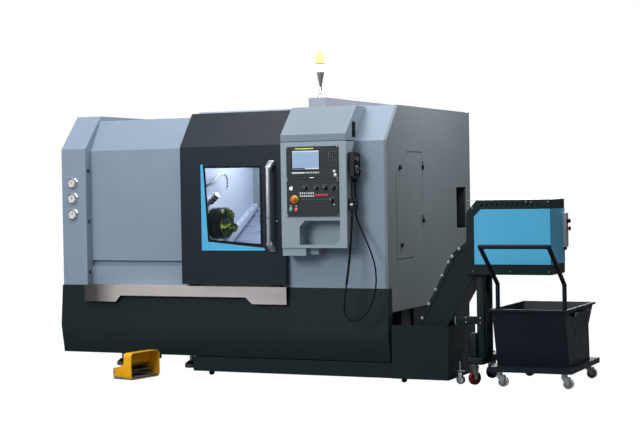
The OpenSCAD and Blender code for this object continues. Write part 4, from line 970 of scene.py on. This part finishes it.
def make_cart_details():
    """Pull bar plates and screws of the chip cart"""
    cart = Piece("cart_fittings")
    cart.slab((4196, 182, 524.6), (4203, 300, 527.4), grey_plastic, 0.6)
    cart.slab((4196, 480, 524.6), (4203, 618, 527.4), grey_plastic, 0.6)
    for y in (200, 600):
        cart.screw((4202, y, 512), (1, 0, 0), 10, zinc)
    cart.done("root")


def make_wheel_caps():
    """Hub caps and side rings of the cart's casters"""
    for corner, x, y in zip(CORNERS, (3698, 4178, 3698, 4178), (70, 70, 730, 730)):
        cap = Piece("wheel_caps_" + corner)
        for side in (-1, 1):
            cap.turned([(31, 0), (31, 1.2), (24, 2.4), (14, 2.4)], (x, y + side * 13, 37.5), (0, side, 0),
                       grey_plastic, 36)
        cap.done("caster_wheel_" + corner)


# Foot switch

FOOT = Matrix.Translation((665, -215, 0)) @ Matrix.Rotation(math.radians(-10), 4, "Z")


def rounded(half, low, high, radius, steps=6):
    """Outline of a rectangle with round corners, as points of width and height"""
    centres = ((half - radius, high - radius), (-half + radius, high - radius),
               (-half + radius, low + radius), (half - radius, low + radius))
    return [(u + radius * math.cos(math.radians(90 * k + 90 * i / steps)),
             v + radius * math.sin(math.radians(90 * k + 90 * i / steps)))
            for k, (u, v) in enumerate(centres) for i in range(steps + 1)]


def make_guard():
    """Cast guard of the foot switch: a hood with round corners, open to one side, on a sloping foot"""
    guard = Piece("foot_guard")
    shape = bmesh.new()
    loops = [[shape.verts.new((x, u, v)) for u, v in rounded(half, low, high, radius)]
             for x, half, low, high, radius in (
                 (165, 158, 8, 200, 24), (172, 166, 2, 206, 30), (240, 168.5, 0.5, 208, 32),
                 (247, 170, 0, 209.5, 34), (250, 167, 2, 207, 31), (248, 162, 6, 202, 27), (172, 159, 9, 199, 24))]
    for a, b in zip(loops, loops[1:]):
        for k in range(len(a)):
            shape.faces.new([a[k], a[(k + 1) % len(a)], b[(k + 1) % len(a)], b[k]])
    guard.take(shape, yellow_coat)
    guard.prism([(165, 199), (170, 199), (170, 120), (114, 84), (59, 82), (59, 21), (54, 21), (54, 87), (112, 89),
                 (165, 124)], "y",
                -158, 158, yellow_coat, 1.5)
    for side in (-158, 153):
        guard.prism([(168, 124), (112, 88), (54, 86), (54, 21), (168, 21)], "y", side, side + 5, yellow_coat, 1)
    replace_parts(guard.done("root", FOOT), "foot_switch_guard")


def make_foot_switch():
    """Cast base plate, screws and side caps of the foot switch, and the ribs on its pedals"""
    base = Piece("foot_switch_base")
    base.slab((56, -156, 1), (246, 156, 21), grey_plastic, 3)
    for y in (-146, 146):
        base.screw((228, y, 21), (0, 0, 1), 9, zinc)
    for side in (-1, 1):
        base.turned([(9, 0), (9, 3), (5, 4.5), (0, 4.5)], (70, side * 158, 62), (0, side, 0), zinc, 20)
    base.done("root", FOOT)
    for name, y0 in (("front", -154), ("rear", 4)):
        pad = Piece("pedal_pad_" + name)
        for k in range(7):
            pad.slab((104 + 13 * k, y0 + 9, 71.8), (109 + 13 * k, y0 + 141, 73.2), rubber, 0.5)
        pad.done("pedal_" + name, FOOT)


# Small trim of the enclosure

def make_trim():
    """Vent in the hood, and screws and seams of the front covers"""
    trim = Piece("hood_vent_and_painted_shade")
    # Black back plate and black slats: a vent, with the darkness in its slot painted shade
    trim.slab((2561, -39, 1826), (2566, 25, 1942), black_plastic, 1)
    for k in range(9):
        z = 1832 + 12 * k
        trim.prism([(2566, z), (2588, z + 6), (2588, z + 8.5), (2566, z + 2.5)], "y", -38, 24, black_plastic)
    trim.done("root")
    seams = Piece("cover_seams")
    seams.slab((2030.5, -0.3, 706), (2032, 0.8, 1790), rubber)
    seams.slab((2056, -152, 1796.8), (2590, -1, 1803.2), rubber)
    for z in (760, 1240, 1700):
        seams.screw((2815, 0, z), (0, -1, 0), 9, paint)
    for x in (300, 690, 1080):
        seams.screw((x, 75, 1740), (0, -1, 0), 8, paint)
        seams.screw((x, 75, 930), (0, -1, 0), 8, paint)
    for x in (2250, 2400, 2550, 2780):
        seams.screw((x, 0, 735), (0, -1, 0), 8, paint)
    seams.done("root")


# Floor and light

def make_stage():
    """Pale floor, lit evenly towards the camera and duller towards the machine's underside"""
    data = bpy.data.meshes.new("floor")
    reach = 60
    data.from_pydata([(-reach, -reach, 0), (reach, -reach, 0), (reach, reach, 0), (-reach, reach, 0)], [],
                     [(0, 1, 2, 3)])
    floor = bpy.data.objects.new("floor", data)
    floor_paint = finish("floor_paint", "7c7f82", 0.8, specular=0.1, mottle=0.01, mottle_size=900)
    tree = floor_paint.node_tree
    even = tree.nodes.new("ShaderNodeEmission")
    mix = tree.nodes.new("ShaderNodeMixShader")
    path = tree.nodes.new("ShaderNodeLightPath")
    share = tree.nodes.new("ShaderNodeMath")
    share.operation = "MULTIPLY"
    share.inputs[1].default_value = 0.86
    tree.links.new(path.outputs["Is Camera Ray"], share.inputs[0])
    tree.links.new(share.outputs[0], mix.inputs["Fac"])
    tree.links.new(tree.nodes["Principled BSDF"].outputs[0], mix.inputs[1])
    tree.links.new(even.outputs[0], mix.inputs[2])
    even.inputs["Strength"].default_value = 1.16
    tree.links.new(mix.outputs[0], tree.nodes["Material Output"].inputs["Surface"])
    data.materials.append(floor_paint)
    bpy.context.scene.collection.objects.link(floor)


def area_light(name, place, target, size, power, color=(1, 1, 1)):
    data = bpy.data.lights.new(name, "AREA")
    data.size = size
    data.energy = power
    data.color = color
    light = bpy.data.objects.new(name, data)
    light.location = at(*place)
    light.rotation_euler = (at(*target) - light.location).to_track_quat("-Z", "Y").to_euler()
    light.visible_camera = False
    bpy.context.scene.collection.objects.link(light)


SKY_LOW, SKY_HIGH = 0.24, 1.0
SKY_LEFT, SKY_RIGHT = 1.15, 0.2


def make_light():
    """White backdrop, a sky that is brighter above and to the left, and soft lamps"""
    world = bpy.data.worlds.new("studio")
    world.use_nodes = True
    tree = world.node_tree
    background = tree.nodes["Background"]
    background.inputs["Color"].default_value = (1, 1, 1, 1)
    backdrop = tree.nodes.new("ShaderNodeBackground")
    backdrop.inputs["Color"].default_value = (1, 1, 1, 1)
    way = tree.nodes.new("ShaderNodeTexCoord")
    parts = tree.nodes.new("ShaderNodeSeparateXYZ")
    tree.links.new(way.outputs["Generated"], parts.inputs[0])
    height = spread(tree, parts.outputs["Z"], SKY_LOW, SKY_HIGH, 0.0, 0.9)
    side = spread(tree, parts.outputs["X"], SKY_LEFT, SKY_RIGHT, -1, 1)
    both = tree.nodes.new("ShaderNodeMath")
    both.operation = "MULTIPLY"
    tree.links.new(height, both.inputs[0])
    tree.links.new(side, both.inputs[1])
    tree.links.new(both.outputs[0], background.inputs["Strength"])
    mix = tree.nodes.new("ShaderNodeMixShader")
    path = tree.nodes.new("ShaderNodeLightPath")
    tree.links.new(path.outputs["Is Camera Ray"], mix.inputs["Fac"])
    tree.links.new(background.outputs[0], mix.inputs[1])
    tree.links.new(backdrop.outputs[0], mix.inputs[2])
    tree.links.new(mix.outputs[0], tree.nodes["World Output"].inputs["Surface"])
    bpy.context.scene.world = world
    area_light("key", (-300, -6700, 4200), (1500, 0, 1200), 3, 270, (0.95, 0.98, 1))
    area_light("top", (1600, -1000, 5200), (1600, 300, 1500), 4, 125)
    area_light("side", (3900, 900, 3300), (2850, 900, 2100), 1.2, 44, (1, 0.99, 0.97))
    area_light("back", (1200, 7400, 4200), (1400, 1893, 1200), 3, 300)
    area_light("chamber", (1620, 560, 1860), (1180, 760, 1420), 0.35, 6.5, (0.92, 0.95, 1))
    area_light("chamber_lamp", (1274, 310, 1432), (1330, 350, 1200), 0.05, 1.3, (0.95, 1, 0.9))
    bpy.context.scene.view_settings.view_transform = "Standard"


make_camera()
make_cable()
dress_all()
make_gauges()
make_latches()
make_display()
make_operator_panel()
make_pendant()
make_handle()
make_door_details()
make_hose()
make_work_lamp()
make_chamber_details()
make_chuck_details()
make_tower()
make_service_unit()
make_side_fittings()
make_conveyor_details()
make_head_details()
make_legs()
make_tank_details()
make_cart_details()
make_wheel_caps()
make_guard()
make_foot_switch()
make_trim()
make_stage()
make_light()
